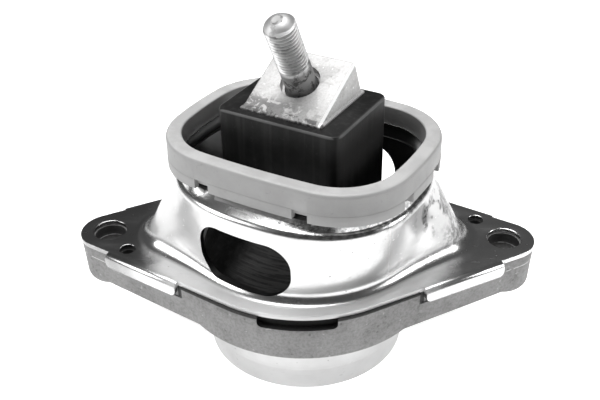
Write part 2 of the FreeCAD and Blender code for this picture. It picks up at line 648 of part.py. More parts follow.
# ---- stop ring ----------------------------------------------------------------------
def make_stop_ring():
    wall_low_z = RING_TOP_Z - RING_WALL_H
    collar_out = COLLAR_IN + SHEET + CLEAR
    ring = ring_band(0.0, RING_WIDTH, wall_low_z, RING_TOP_Z)
    outer_top = pick_edges(ring, lambda e: at_height(e, RING_TOP_Z) and rim_edge(e, RING_WIDTH))
    ring = ring.makeFillet(RING_ROUND_OUT, outer_top)
    inner_top = pick_edges(ring, lambda e: at_height(e, RING_TOP_Z) and rim_edge(e, 0.0))
    ring = ring.makeFillet(RING_ROUND_IN, inner_top)
    band = ring_band(collar_out, RING_WIDTH - SKIRT_T + BAND_KEY, RING_LOW_Z + BAND_SHORTER, wall_low_z)
    skirt = ring_band(RING_WIDTH - SKIRT_T, RING_WIDTH + SKIRT_PROUD, RING_LOW_Z, wall_low_z)
    reach = 2.0 * RING_A
    half = GAP_W / 2.0
    low_z = RING_LOW_Z - OVER
    for side in (-1, 1):
        at_x = side * GAP_X
        at_y = side * GAP_Y
        skirt = skirt.cut(box(at_x - half, at_x + half, -reach, reach, low_z, wall_low_z))
        skirt = skirt.cut(box(-reach, reach, at_y - half, at_y + half, low_z, wall_low_z))
    room = ring_prism(collar_out, wall_low_z - OVER, COLLAR_TOP_Z)
    ring = ring.cut(room).fuse(band).fuse(skirt)
    return turned(ring.removeSplitter())


def rim_edge(edge, out):
    """True when an edge lies on the ring outline grown by out."""
    middle = edge.valueAt((edge.FirstParameter + edge.LastParameter) / 2.0)
    angle = atan2(middle.y, middle.x) + radians(TWIST)
    return abs(hypot(middle.x, middle.y) - seat_radius(angle, out)) < 0.05


# ---- casting ------------------------------------------------------------------------
def make_cast_base():
    top = hull_face(CAST_R, CAST_EAR_R, CAST_TOP_Z).OuterWire
    low = hull_face(CAST_R - CAST_DRAFT, CAST_EAR_R - CAST_DRAFT, WEB_BOTTOM_Z).OuterWire
    body = Part.makeLoft([low, top], True, True)
    body = body.makeFillet(WEB_ROUND, pick_edges(body, lambda e: at_height(e, WEB_BOTTOM_Z)))
    for side in (-1, 1):
        ear_x = side * BOLT_SPACING / 2.0
        boss = Part.makeCone(CAST_EAR_R - CAST_DRAFT, CAST_EAR_R - CAST_DRAFT / 2.0,
                             CAST_TOP_Z - EAR_BOTTOM_Z - BOSS_DROP, FreeCAD.Vector(ear_x, 0, EAR_BOTTOM_Z))
        boss = boss.makeFillet(EAR_ROUND, pick_edges(boss, lambda e: at_height(e, EAR_BOTTOM_Z)))
        body = body.fuse(boss)
    skirt = Part.makeCone(SKIRT_R - SKIRT_DRAFT, SKIRT_R, CAST_TOP_Z - SKIRT_BOTTOM_Z - SKIRT_DROP,
                          FreeCAD.Vector(0, 0, SKIRT_BOTTOM_Z))
    skirt = skirt.makeFillet(SKIRT_ROUND, pick_edges(skirt, lambda e: at_height(e, SKIRT_BOTTOM_Z)))
    body = body.fuse(skirt)
    body = body.cut(cylinder(CUP_R + CUP_CLEAR, SKIRT_BOTTOM_Z - OVER, CAST_TOP_Z))
    body = body.cut(cylinder(CAST_BORE_R, LEDGE_Z, CAST_TOP_Z + OVER))
    for room in four_ways(tab_room()):
        body = body.cut(room)
    notch_z = CAST_TOP_Z - NOTCH_D
    reach = CAST_R + NOTCH_REACH
    notch = box(-NOTCH_W / 2.0, NOTCH_W / 2.0, -reach, reach, notch_z, CAST_TOP_Z + OVER)
    floor_edges = pick_edges(notch, lambda e: at_height(e, notch_z) and e.BoundBox.YLength > CAST_R)
    notch = notch.makeFillet(NOTCH_ROUND, floor_edges)
    notch = notch.cut(cylinder(CAST_R - NOTCH_IN, 0.0, CAST_TOP_Z + 2.0 * OVER))
    body = body.cut(notch)
    for side in (-1, 1):
        ear_x = side * BOLT_SPACING / 2.0
        body = body.cut(cylinder(CAST_HOLE_R, 0.0, CAST_TOP_Z + OVER, ear_x))
        body = body.cut(cylinder(CAST_LOCATE_R, CAST_TOP_Z - CAST_LOCATE_DEPTH, CAST_TOP_Z + OVER,
                                 side * LOCATE_X, side * LOCATE_Y))
    return body.removeSplitter()


def tab_room():
    """Room cut in the casting edge for one crimp tab and its bend."""
    phi = edge_normal_angle(FLANGE_R, EAR_R, BOLT_SPACING)
    near = tab_distance(TAB_OUT_X + TAB_ROOM_OUT, phi)
    far = tab_distance(TAB_IN_X - TAB_ROOM_IN, phi)
    depth = TAB_DROP - SHEET + TAB_ROOM_LOW
    room = Part.makeBox(TAB_ROOM_REACH, far - near, depth + OVER,
                        FreeCAD.Vector(FLANGE_R - TAB_CLEAR, near, CAST_TOP_Z - depth))
    room.rotate(FreeCAD.Vector(0, 0, 0), FreeCAD.Vector(0, 0, 1), degrees(phi))
    return room


# ---- fluid parts under the rubber ---------------------------------------------------
def make_upper_plate():
    plate = cylinder(STACK_R, PLATE_MID_Z, PLATE_TOP_Z)
    channel = cylinder(CHANNEL_R + CHANNEL_W / 2.0, PLATE_MID_Z, PLATE_MID_Z + CHANNEL_DEPTH)
    channel = channel.cut(cylinder(CHANNEL_R - CHANNEL_W / 2.0, PLATE_MID_Z, PLATE_MID_Z + CHANNEL_DEPTH))
    dam = box(0, STACK_R, -DAM_W / 2.0, DAM_W / 2.0, PLATE_MID_Z - OVER, PLATE_TOP_Z)
    plate = plate.cut(channel.cut(dam))
    pocket_h = DECOUPLER_T / 2.0 + DECOUPLER_PLAY
    plate = plate.cut(cylinder(DECOUPLER_R + DECOUPLER_PLAY, PLATE_MID_Z, PLATE_MID_Z + pocket_h))
    inlet = at_angle(CHANNEL_R, DAM_SWING)
    plate = plate.cut(cylinder(PORT_R, PLATE_MID_Z, PLATE_TOP_Z + OVER, inlet.x, inlet.y))
    return drill_ports(plate, PLATE_MID_Z, PLATE_TOP_Z)


def make_lower_plate():
    plate = cylinder(STACK_R, PLATE_LOW_Z, PLATE_MID_Z)
    pocket_z = PLATE_MID_Z - DECOUPLER_T / 2.0 - DECOUPLER_PLAY
    plate = plate.cut(cylinder(DECOUPLER_R + DECOUPLER_PLAY, pocket_z, PLATE_MID_Z + OVER))
    outlet = at_angle(CHANNEL_R, -DAM_SWING)
    plate = plate.cut(cylinder(PORT_R, PLATE_LOW_Z - OVER, PLATE_MID_Z + OVER, outlet.x, outlet.y))
    return drill_ports(plate, PLATE_LOW_Z, PLATE_MID_Z)


def drill_ports(plate, z_low, z_high):
    for i in range(PORT_COUNT):
        centre = at_angle(PORT_RING_R, 2.0 * pi * i / PORT_COUNT)
        plate = plate.cut(cylinder(PORT_R, z_low - OVER, z_high + OVER, centre.x, centre.y))
    return plate.cut(cylinder(PORT_R, z_low - OVER, z_high + OVER))


def make_decoupler():
    disc = cylinder(DECOUPLER_R, PLATE_MID_Z - DECOUPLER_T / 2.0, PLATE_MID_Z + DECOUPLER_T / 2.0)
    return disc.makeFillet(DECOUPLER_ROUND, pick_edges(disc, lambda e: e.BoundBox.ZLength < NEAR))


def make_diaphragm():
    """Rolling membrane with a clamped bead, turned about Z."""
    bead_in = CUP_R - CUP_T - CUP_CLEAR
    outline = [
        (STACK_R - BEAD_EDGE, CUP_RIM_TOP_Z),
        (STACK_R - BEAD_EDGE, PLATE_LOW_Z),
        (bead_in - BEAD_IN, PLATE_LOW_Z),
    ]
    outline += [(bead_in - inward, CUP_TURN_Z + up) for inward, up in DOME_UPPER]
    outline.append((0, CUP_TURN_Z + DOME_H))
    outline.append((0, CUP_TURN_Z + DOME_H - MEMBRANE_T))
    outline += [(bead_in - inward, CUP_TURN_Z + up - MEMBRANE_T) for inward, up in DOME_LOWER]
    outline.append((bead_in, CUP_RIM_TOP_Z))
    return revolve(outline)


def make_bottom_cup():
    """Drawn sheet cup: rim on the casting ledge, wall turning in to a flat floor."""
    def half(inset, z_top):
        r_wall = CUP_R - inset
        mid_r = CUP_R - CUP_BOW_IN - inset * CUP_BOW_STEP_R
        mid = FreeCAD.Vector(mid_r, 0, CUP_TURN_Z * CUP_BOW_SHARE + inset * CUP_BOW_STEP_Z)
        wall_low = FreeCAD.Vector(r_wall, 0, CUP_TURN_Z)
        corner = FreeCAD.Vector(CUP_FLOOR_R + CUP_CORNER_R, 0, inset + CUP_CORNER_H)
        floor = FreeCAD.Vector(CUP_FLOOR_R, 0, inset)
        centre = FreeCAD.Vector(0, 0, inset)
        top = FreeCAD.Vector(r_wall, 0, z_top)
        top_mid = FreeCAD.Vector(0, 0, z_top)
        bow_r = CUP_FLOOR_R + CUP_CORNER_R * CUP_CORNER_MID
        bow = FreeCAD.Vector(bow_r, 0, inset + CUP_CORNER_MID_H)
        edges = [
            Part.makeLine(top, wall_low),
            Part.Arc(wall_low, mid, corner).toShape(),
            Part.Arc(corner, bow, floor).toShape(),
            Part.makeLine(floor, centre),
            Part.makeLine(centre, top_mid),
            Part.makeLine(top_mid, top),
        ]
        profile = Part.Face(Part.Wire(edges))
        return profile.revolve(FreeCAD.Vector(0, 0, 0), FreeCAD.Vector(0, 0, 1), 360)

    outer = half(0.0, CUP_RIM_TOP_Z)
    rim = cylinder(STACK_R, LEDGE_Z, CUP_RIM_TOP_Z)
    inner = half(CUP_T, CUP_RIM_TOP_Z + OVER)
    return outer.fuse(rim).cut(inner).removeSplitter()


def main():
    os.makedirs("parts", exist_ok=True)
    stud = make_stud()
    core = make_core(stud)
    bonded_ring = make_bonded_ring()
    shapes = {
        "stud": stud,
        "core_wedge": core,
        "rubber_spring": make_rubber(core, stud, bonded_ring),
        "bonded_ring": bonded_ring,
        "housing": make_housing(),
        "stop_ring": make_stop_ring(),
        "cast_base": make_cast_base(),
        "upper_channel_plate": make_upper_plate(),
        "lower_channel_plate": make_lower_plate(),
        "decoupler_disc": make_decoupler(),
        "diaphragm": make_diaphragm(),
        "bottom_cup": make_bottom_cup(),
    }
    for name, shape in shapes.items():
        shape.exportStep(os.path.join("parts", name + ".step"))
        print(name, len(shape.Solids), shape.isValid(), round(shape.Volume))


main()
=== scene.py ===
"""Looks of the hydraulic engine mount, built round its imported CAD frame. Blender 4.5, metres."""
import logging
from dataclasses import dataclass
from enum import Enum
from math import acos, atan2, cos, hypot, pi, radians, sin, sqrt, tan
from typing import Callable, Optional, Sequence, Union

import bmesh
import bpy
from mathutils import Matrix, Vector
from mathutils.geometry import tessellate_polygon


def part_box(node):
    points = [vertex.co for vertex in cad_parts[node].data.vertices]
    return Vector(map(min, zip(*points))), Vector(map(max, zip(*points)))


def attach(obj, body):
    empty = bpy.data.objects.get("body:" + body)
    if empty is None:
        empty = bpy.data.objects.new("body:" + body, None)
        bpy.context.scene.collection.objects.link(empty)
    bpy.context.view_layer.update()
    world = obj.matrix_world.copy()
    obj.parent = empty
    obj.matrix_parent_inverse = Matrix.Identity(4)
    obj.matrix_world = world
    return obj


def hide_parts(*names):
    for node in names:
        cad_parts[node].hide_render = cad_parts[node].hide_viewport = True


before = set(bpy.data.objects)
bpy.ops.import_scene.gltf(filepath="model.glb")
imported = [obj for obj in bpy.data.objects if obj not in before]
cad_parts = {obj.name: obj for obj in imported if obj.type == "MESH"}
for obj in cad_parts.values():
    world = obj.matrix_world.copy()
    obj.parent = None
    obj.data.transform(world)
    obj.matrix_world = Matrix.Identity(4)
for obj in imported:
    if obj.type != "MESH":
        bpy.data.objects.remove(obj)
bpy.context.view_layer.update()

LOG = logging.getLogger("engine_mount")
MM = 0.001
TWIST = radians(-26.65)
BODY = "root"
TILT = radians(27.1)
FOOT = (0.0, -1.65, 115.6)
SMOOTH = 32.0
ROOF_SLOPE = -0.3
Outline = Callable[[float], float]


# ---- small shader language ------------------------------------------------------------
class Val:
    """A number in a shader tree, with operators that add maths nodes.

    Args:
        graph: the tree it lives in.
        socket: the output socket that carries it.
    """

    def __init__(self, graph: "Graph", socket: bpy.types.NodeSocket) -> None:
        self.graph = graph
        self.socket = socket

    def __add__(self, other: object) -> "Val":
        return self.graph.math("ADD", self, other)

    def __radd__(self, other: object) -> "Val":
        return self.graph.math("ADD", other, self)

    def __sub__(self, other: object) -> "Val":
        return self.graph.math("SUBTRACT", self, other)

    def __rsub__(self, other: object) -> "Val":
        return self.graph.math("SUBTRACT", other, self)

    def __mul__(self, other: object) -> "Val":
        return self.graph.math("MULTIPLY", self, other)

    def __pow__(self, other: object) -> "Val":
        return self.graph.math("POWER", self, other)

    def abs(self) -> "Val":
        """Returns: the value without its sign."""
        return self.graph.math("ABSOLUTE", self)

    def ramp(self, low: float, high: float) -> "Val":
        """Smooth step between two values.

        Args:
            low: value that gives 0.
            high: value that gives 1; may be below low.
        Returns: the step, 0 to 1.
        """
        settings = {"interpolation_type": "SMOOTHSTEP"}
        if low < high:
            return Val(self.graph, self.graph.node("ShaderNodeMapRange", settings, {
                "Value": self, "From Min": low, "From Max": high}).outputs["Result"])
        return 1.0 - self.ramp(high, low)

    def above(self, place: float, soft: float) -> "Val":
        """Returns: 0 rising to 1 across a place, over plus and minus soft, in millimetres."""
        return self.ramp((place - soft) * MM, (place + soft) * MM)

    def below(self, place: float, soft: float) -> "Val":
        """Returns: 1 falling to 0 across a place, over plus and minus soft, in millimetres."""
        return self.ramp((place + soft) * MM, (place - soft) * MM)

    def hypot(self, other: "Val") -> "Val":
        """Returns: length of the two taken square to each other."""
        return (self * self + other * other) ** 0.5

    def sign(self) -> "Val":
        """Returns: 1 above zero, -1 below."""
        return self.graph.math("SIGN", self)

    def maximum(self, other: object) -> "Val":
        """Returns: the larger of the two."""
        return self.graph.math("MAXIMUM", self, other)


class Graph:
    """A material's tree, cleared and filled through one method.

    Args:
        name: the material's name.
    """

    def __init__(self, name: str) -> None:
        self.material = bpy.data.materials.new(name)
        self.material.use_nodes = True
        self.tree = self.material.node_tree
        self.tree.nodes.clear()

    def node(self, kind: str, settings: Optional[dict] = None,
             inputs: Optional[dict] = None) -> bpy.types.Node:
        """Adds a node, its settings first and then its inputs.

        Args:
            kind: Blender's node type.
            settings: node properties.
            inputs: socket name or index to a Val, a socket or a constant.
        Returns: the node.
        """
        made = self.tree.nodes.new(kind)
        for key, value in (settings or {}).items():
            setattr(made, key, value)
        for key, value in (inputs or {}).items():
            self.feed(made.inputs[key], value)
        return made

    def feed(self, socket: bpy.types.NodeSocket, value: object) -> None:
        """Links a value to a socket, or sets it there.

        Args:
            socket: where it goes.
            value: Val, output socket, number or tuple.
        """
        if isinstance(value, Val):
            self.tree.links.new(value.socket, socket)
        elif isinstance(value, bpy.types.NodeSocket):
            self.tree.links.new(value, socket)
        else:
            socket.default_value = value

    def math(self, operation: str, first: object, second: object = 0.0) -> Val:
        """Returns: one maths node's result."""
        made = self.node("ShaderNodeMath", {"operation": operation}, {0: first, 1: second})
        return Val(self, made.outputs[0])

    def place(self) -> bpy.types.NodeSocket:
        """Returns: the object's own coordinates, in metres."""
        return self.node("ShaderNodeTexCoord").outputs["Object"]

    def axes(self, vector: bpy.types.NodeSocket) -> tuple[Val, Val, Val]:
        """Returns: the three parts of a vector."""
        made = self.node("ShaderNodeSeparateXYZ", {}, {0: vector})
        return Val(self, made.outputs[0]), Val(self, made.outputs[1]), Val(self, made.outputs[2])

    def turned(self, vector: bpy.types.NodeSocket, angle: tuple,
               scale: tuple = (1.0, 1.0, 1.0)) -> bpy.types.NodeSocket:
        """Returns: coordinates turned by angle and scaled along each axis."""
        return self.node("ShaderNodeMapping", {}, {
            "Vector": vector, "Rotation": angle, "Scale": scale}).outputs[0]

    def vectors(self, operation: str, first: object, second: object) -> bpy.types.Node:
        """Returns: one vector maths node."""
        return self.node("ShaderNodeVectorMath", {"operation": operation}, {0: first, 1: second})

    def noise(self, vector: bpy.types.NodeSocket, scale: float, detail: float = 3.0, rough: float = 0.55,
              warp: float = 0.0) -> Val:
        """Returns: fractal noise, about 0.3 to 0.7."""
        made = self.node("ShaderNodeTexNoise", {}, {
            "Vector": vector, "Scale": scale, "Detail": detail, "Roughness": rough, "Distortion": warp})
        return Val(self, made.outputs[0])

    def cells(self, vector: bpy.types.NodeSocket, scale: float) -> Val:
        """Returns: distance to the nearest of many scattered points."""
        made = self.node("ShaderNodeTexVoronoi", {}, {"Vector": vector, "Scale": scale})
        return Val(self, made.outputs["Distance"])

    def blend(self, share: object, first: object, second: object) -> bpy.types.NodeSocket:
        """Returns: a colour between two others."""
        made = self.node("ShaderNodeMix", {"data_type": "RGBA"}, {0: share, 6: first, 7: second})
        return made.outputs[2]

    def bump(self, height: Val, depth: float, strength: float = 1.0,
             over: Optional[bpy.types.NodeSocket] = None) -> bpy.types.NodeSocket:
        """Returns: a normal bent by a height pattern of the given depth in metres."""
        inputs: dict = {"Height": height, "Distance": depth, "Strength": strength}
        if over is not None:
            inputs["Normal"] = over
        return self.node("ShaderNodeBump", {}, inputs).outputs[0]

    def finish(self, inputs: dict) -> bpy.types.Material:
        """Ends the tree in one shader.

        Args:
            inputs: the shader's inputs by name.
        Returns: the material.
        """
        shader = self.node("ShaderNodeBsdfPrincipled", {}, inputs)
        self.node("ShaderNodeOutputMaterial", {}, {"Surface": shader.outputs[0]})
        return self.material


def grey(level: float, warm: float = 0.0) -> tuple[float, float, float, float]:
    """Returns: a grey colour, a little warm or cool."""
    return (level * (1.0 + warm), level, level * (1.0 - warm), 1.0)


# ---- finishes ---------------------------------------------------------------------------
@dataclass(frozen=True)
class SteelFinish:
    """Bright plated sheet, with fine scratches, pits and dark mottled staining, and on the housing painted
    shade and a painted dark reflection.

    Args:
        name: material name.
        light, dark: grey levels of clean metal and of staining and painted shade.
        rough: roughness of clean metal.
        stained_and_shaded: whether it carries the housing's staining, painted shade and satin zones.
    """
    name: str
    light: float
    dark: float
    rough: float
    stained_and_shaded: bool = False
    # where staining, painted shade and satin zones begin or end, millimetres
    LOBE_X, TIP_X, EAR_X, FLANK_X = 43.5, 55.0, -65.0, 33.0
    APRON_R = 60.5

    def build(self) -> bpy.types.Material:
        """Returns: the material."""
        g = Graph(self.name)
        here = g.place()
        cloud = g.noise(here, 60.0, 4.0)
        fine = g.noise(here, 900.0, 2.0)
        lines = g.noise(g.turned(here, (0.2, 0.4, 0.3), (60.0, 900.0, 900.0)), 1.0, 2.0)
        scratch = lines.ramp(0.66, 0.74)
        pits = g.cells(here, 420.0).ramp(0.16, 0.06) * g.noise(here, 110.0).ramp(0.52, 0.6)
        shade = cloud.ramp(0.35, 0.7) * 0.14 + scratch * 0.16 + pits * 0.55
        metal: object = 1.0
        # staining and painted shade darken the housing; satin zones lower its metallic share
        if self.stained_and_shaded:
            shade = shade + self.stains_and_shade(g, here)
            metal = self.satin(g, here, cloud)
        colour = g.blend(shade, grey(self.light), grey(self.dark))
        rough = self.rough + cloud.ramp(0.4, 0.7) * 0.06 + scratch * 0.08 + pits * 0.2
        normal = g.bump(fine + scratch * -0.6 + pits * -2.0, 0.00004, 0.35)
        normal = g.bump(cloud, 0.0006, 0.18, normal)
        return g.finish({"Base Color": colour, "Metallic": metal, "Roughness": rough, "Normal": normal})

    def stains_and_shade(self, g: Graph, here: bpy.types.NodeSocket) -> Val:
        """Dark shares: painted shade below the ring's skirt on the right front shoulder, mottled; staining
        on the right lobe and its tip; painted shade on the collar inside the ring; a painted dark reflection
        on the left ear.

        Args:
            g: the tree.
            here: object coordinates.
        Returns: share of the dark colour.
        """
        s = HousingSizes()
        x, y, z = g.axes(here)
        mottle = g.noise(here, 480.0, 5.0, 0.7, 0.4)
        broad = g.noise(here, 120.0, 3.0, 0.6, 0.4)
        # painted shade below the ring's skirt on the right front shoulder, broken up by mottle
        edge = z + broad * 0.003
        band = edge.above(s.shoulder_z - 0.65, 0.85) * edge.below(s.cap_z + 1.1, 1.0)
        right = x.above(-6.0, 8.0) * y.below(-10.0, 10.0)
        shoulder = band * right * mottle.ramp(0.38, 0.60) * 0.6
        high = z.above(60.5, 5.5) * z.below(s.shoulder_z - 3.5, 1.0)
        mixed = 0.45 + mottle.ramp(0.4, 0.6) * 0.45
        lobe = x.above(self.LOBE_X, 3.5) * high * broad.ramp(0.44, 0.56) * mixed
        foot = z.above(s.top + 3.05, 1.75) * z.below(59.5, 3.5)
        tip = x.above(self.TIP_X, 3.0) * foot * mottle.ramp(0.44, 0.56)
        # painted shade on the collar, inside the ring's skirt
        collar = z.above(s.cap_z + 0.25, 0.25) * z.below(s.collar_z - 0.45, 0.15)
        # painted dark reflection on the left ear
        ear = x.below(self.EAR_X, 5.0) * z.below(s.top + 0.25, 0.15)
        return (shoulder + lobe + tip * 0.5).maximum(collar * 0.96) + ear * 0.45

    def satin(self, g: Graph, here: bpy.types.NodeSocket, cloud: Val) -> Val:
        """Zones that scatter light: the flange beside the wall and the wall's two flanks.

        Args:
            g: the tree.
            here: object coordinates.
            cloud: broad noise that breaks the outline of the zone on the flange.
        Returns: metallic share.
        """
        s = HousingSizes()
        x, y, z = g.axes(here)
        spread = x.hypot(y) + cloud * 0.012 - 0.006
        apron = spread.below(self.APRON_R, 5.5) * z.below(s.top + 0.6, 0.4) * z.above(s.top - 1.95, 0.75)
        upright = z.above(s.top + 4.05, 1.75) * z.below(s.shoulder_z - 1.5, 1.0)
        return 1.0 - (apron * 0.9).maximum(x.abs().above(self.FLANK_X, 7.0) * upright * 0.6)


@dataclass(frozen=True)
class CastingMarks:
    """Painted shade in the casting's recesses and under the flange, and its parting line: places in
    millimetres.
    """
    notch_half: float = 14.8
    notch_r: float = 52.9
    notch_z: float = 40.7
    relief_in: float = 44.9
    relief_out: float = 46.6
    relief_z: float = 40.15
    bore_r: float = 6.4
    bore_z: float = 39.5
    seat_r: float = 3.5
    # span and height of the painted shadow under the flange
    shadow_half: float = 45.85
    shadow_z: float = 44.6
    parting_x: float = 77.75
    parting_z: float = 40.8

    def build(self, g: Graph, here: bpy.types.NodeSocket) -> tuple[Val, Val]:
        """Painted shade in the rim notches, in the reliefs at the tabs, in the bores and locating holes and
        under the flange's edge; a broken light parting line on the ears.

        Args:
            g: the tree.
            here: object coordinates.
        Returns: shares of the painted shade and of the light parting line.
        """
        s = HousingSizes()
        x, y, z = g.axes(here)
        wide = x.abs()
        # painted shade in the rim notches, under the flange's overhang
        notch = wide.below(self.notch_half, 0.05) * x.hypot(y).below(self.notch_r, 0.1)
        notch = notch * z.above(self.notch_z, 0.2)
        # painted shade in the reliefs at the tabs' inner ends
        relief = wide.above(self.relief_in, 0.1) * wide.below(self.relief_out, 0.1)
        relief = relief * z.above(self.relief_z, 0.15) * 0.8
        # painted shade inside the bolt bores and the locating holes
        bore = (wide - s.spacing / 2.0 * MM).hypot(y)
        hole = bore.below(self.bore_r, 0.05) * z.above(self.bore_z, 3.5) * 0.9
        seat = (wide - s.locate_x * MM).hypot(y * x.sign() - s.locate_y * MM)
        small = seat.below(self.seat_r, 0.1) * 0.95
        # painted shadow along the casting's top edge, under the flange
        flange_shadow = wide.below(self.shadow_half, 0.35) * z.above(self.shadow_z, 0.2) * 0.9
        broken = g.noise(here, 150.0, 2.0).ramp(0.44, 0.5) * wide.above(self.parting_x, 0.75)
        parting = (z - self.parting_z * MM).abs().below(0.2, 0.1) * broken * 0.5
        return notch.maximum(relief).maximum(hole).maximum(small).maximum(flange_shadow), parting


@dataclass(frozen=True)
class CoreMarks:
    """Painted highlight along the side chamfer, and dirt and scuffs of the wedge: places in millimetres."""
    edge_x: float = 15.425
    end_x: float = 16.4
    dirt_y: float = -10.5
    scuff_y: float = -14.6

    def build(self, g: Graph, here: bpy.types.NodeSocket) -> tuple[Val, Val]:
        """Marks on the inclined face, set in the wedge's own turned axes.

        Args:
            g: the tree.
            here: object coordinates.
        Returns: shares of the dark colour, for dirt and scuffs, and of the painted highlight.
        """
        x, y, z = g.axes(g.turned(here, (0.0, 0.0, -TWIST)))
        face = z - FOOT[2] * MM - (y - FOOT[1] * MM) * tan(TILT)
        # painted highlight on the chamfer of the right side edge
        side = x.above(self.edge_x, 0.075) * x.below(self.end_x, 0.1) * face.above(-1.0, 0.1)
        patch = g.noise(here, 260.0, 4.0, 0.6, 0.8).ramp(0.46, 0.50)
        low = y.below(self.dirt_y, 2.0) * (x.below(2.0, 10.0) * 0.6 + 0.4) * patch
        scuff = y.below(self.scuff_y, 0.6) * g.noise(here, 420.0, 3.0, 0.6).ramp(0.42, 0.56)
        return (low * 0.6).maximum(scuff * 0.75), side


@dataclass(frozen=True)
class AlloyFinish:
    """Matt cast or blasted alloy with specks, pits and dirt.

    Args:
        name: material name.
        light, dark: grey levels.
        metal: metallic share.
        rough: roughness.
        grain: scale of the grit.
        dirty: how much dirt gathers.
        marks: marks that belong to one place on the part.
    """
    name: str
    light: float
    dark: float
    metal: float
    rough: float
    grain: float
    dirty: float
    marks: Union[CastingMarks, CoreMarks, None] = None

    def build(self) -> bpy.types.Material:
        """Returns: the material."""
        g = Graph(self.name)
        here = g.place()
        cloud = g.noise(here, 70.0, 5.0, 0.6, 0.4)
        grit = g.noise(here, self.grain, 3.0, 0.7)
        pits = g.cells(here, self.grain * 0.35).ramp(0.20, 0.08) * cloud.ramp(0.47, 0.60)
        speck = g.noise(here, self.grain * 0.55, 1.0).ramp(0.70, 0.78)
        dirt = g.noise(here, 160.0, 4.0, 0.65, 0.5).ramp(0.56, 0.70) * self.dirty
        shade = cloud.ramp(0.35, 0.68) * 0.35 + grit.ramp(0.4, 0.66) * 0.4 + dirt + pits * 0.7
        body = g.blend(shade, grey(self.light, 0.004), grey(self.dark, 0.01))
        colour = g.blend(speck * 0.6, body, grey(min(1.0, self.light * 1.7)))
        if self.marks is not None:
            # dark share: painted shade on the casting, dirt and scuffs on the wedge; bright share: the
            # casting's parting line, a painted highlight on the wedge's chamfer
            dark, bright = self.marks.build(g, here)
            colour = g.blend(bright, g.blend(dark, colour, grey(0.004)), grey(0.95))
        rough = self.rough + grit * 0.16 + dirt * 0.15
        normal = g.bump(grit + pits * -1.5, 0.00012, 0.7)
        normal = g.bump(cloud, 0.0008, 0.2, normal)
        return g.finish({"Base Color": colour, "Metallic": self.metal, "Roughness": rough, "Normal": normal})


@dataclass(frozen=True)
class RubberFinish:
    """Moulded rubber with flow bands, fine ridges low down and dust; painted light: a painted highlight
    along the top edge, a lighter right side face and ridges lightened on their lit side.

    Args:
        name: material name.
        base, dust: grey levels.
        rough: roughness.
    """
    name: str
    base: float
    dust: float
    rough: float
    # sides and top edge of the block, and height below which it is ridged, millimetres
    HALF_X, HALF_Y, EDGE_Z, RIDGED_Z = 25.45, 20.2, 106.15, 75.5

    def build(self) -> bpy.types.Material:
        """Returns: the material."""
        g = Graph(self.name)
        here = g.place()
        turn = (0.0, 0.0, -TWIST)
        x, y, z = g.axes(g.turned(here, turn))
        cloud = g.noise(here, 90.0, 4.0, 0.6)
        bands = g.noise(g.turned(here, turn, (420.0, 420.0, 18.0)), 1.0, 2.0)
        grain = g.noise(here, 1400.0, 2.0)
        marks = g.noise(here, 330.0, 3.0, 0.7, 0.8).ramp(0.63, 0.72)
        ridges = g.noise(g.turned(here, turn, (70.0, 70.0, 1700.0)), 1.0, 2.0, 0.5, 0.3)
        ridges = ridges * z.below(self.RIDGED_Z, 2.5)
        shade = bands.ramp(0.45, 0.7) * 0.35 + cloud.ramp(0.4, 0.7) * 0.25 + marks * 0.45
        # the ridges are real; lightening them only on the right is painted light, the left lying in shade
        shade = shade + ridges.ramp(0.44, 0.56) * x.above(-7.0, 5.0) * 1.3
        # painted light: the block's right side face made lighter
        shade = shade + x.above(self.HALF_X - 1.05, 0.4) * z.above(85.0, 5.0) * 0.9
        side = (x.abs() - self.HALF_X * MM).maximum(y.abs() - self.HALF_Y * MM)
        # painted highlight along the top edge of the block
        painted_edge_highlight = side.above(-0.6, 0.2) * z.above(self.EDGE_Z, 0.25) * (0.3 + cloud)
        colour = g.blend(painted_edge_highlight, g.blend(shade, grey(self.base), grey(self.dust, 0.01)), grey(0.11))
        rough = self.rough + cloud * 0.12 + marks * 0.1 - bands.ramp(0.5, 0.7) * 0.06
        normal = g.bump(grain + bands * 2.0 + ridges * 8.0, 0.00005, 0.5)
        normal = g.bump(cloud, 0.0005, 0.2, normal)
        return g.finish({"Base Color": colour, "Roughness": rough, "Normal": normal,
                         "Specular IOR Level": 0.2})


@dataclass(frozen=True)
class PlasticFinish:
    """Light grey moulded plastic, with handling marks, a faint grain and a top face painted paler as painted
    light.

    Args:
        name: material name.
        light, dark: grey levels.
        rough: roughness.
        node: CAD node whose top face gets the painted light.
    """
    name: str
    light: float
    dark: float
    rough: float
    node: str

    def build(self) -> bpy.types.Material:
        """Returns: the material."""
        g = Graph(self.name)
        here = g.place()
        height = g.axes(here)[2]
        cloud = g.noise(here, 80.0, 4.0, 0.6, 0.3)
        grain = g.noise(here, 1100.0, 2.0)
        lines = g.noise(g.turned(here, (0.1, 0.2, 0.5), (70.0, 1100.0, 700.0)), 1.0, 2.0).ramp(0.66, 0.73)
        scuff = g.noise(here, 260.0, 4.0, 0.7, 0.6).ramp(0.62, 0.72)
        shade = cloud.ramp(0.36, 0.68) * 0.30 + lines * 0.3 + scuff * 0.45
        body = g.blend(shade, grey(self.light, 0.003), grey(self.dark, 0.006))
        top = max(corner[2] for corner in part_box(self.node)) / MM
        # painted light: the top face made paler, as lit from above
        painted_top_light = height.above(top - 0.4, 0.2) * (0.6 + cloud.ramp(0.4, 0.6) * 0.4)
        colour = g.blend(painted_top_light * 0.75, body, grey(self.light * 1.7, 0.003))
        rough = self.rough + cloud * 0.12 + scuff * 0.12
        normal = g.bump(grain + lines * -0.8, 0.00005, 0.5)
        normal = g.bump(cloud, 0.0006, 0.2, normal)
        return g.finish({"Base Color": colour, "Roughness": rough, "Normal": normal})


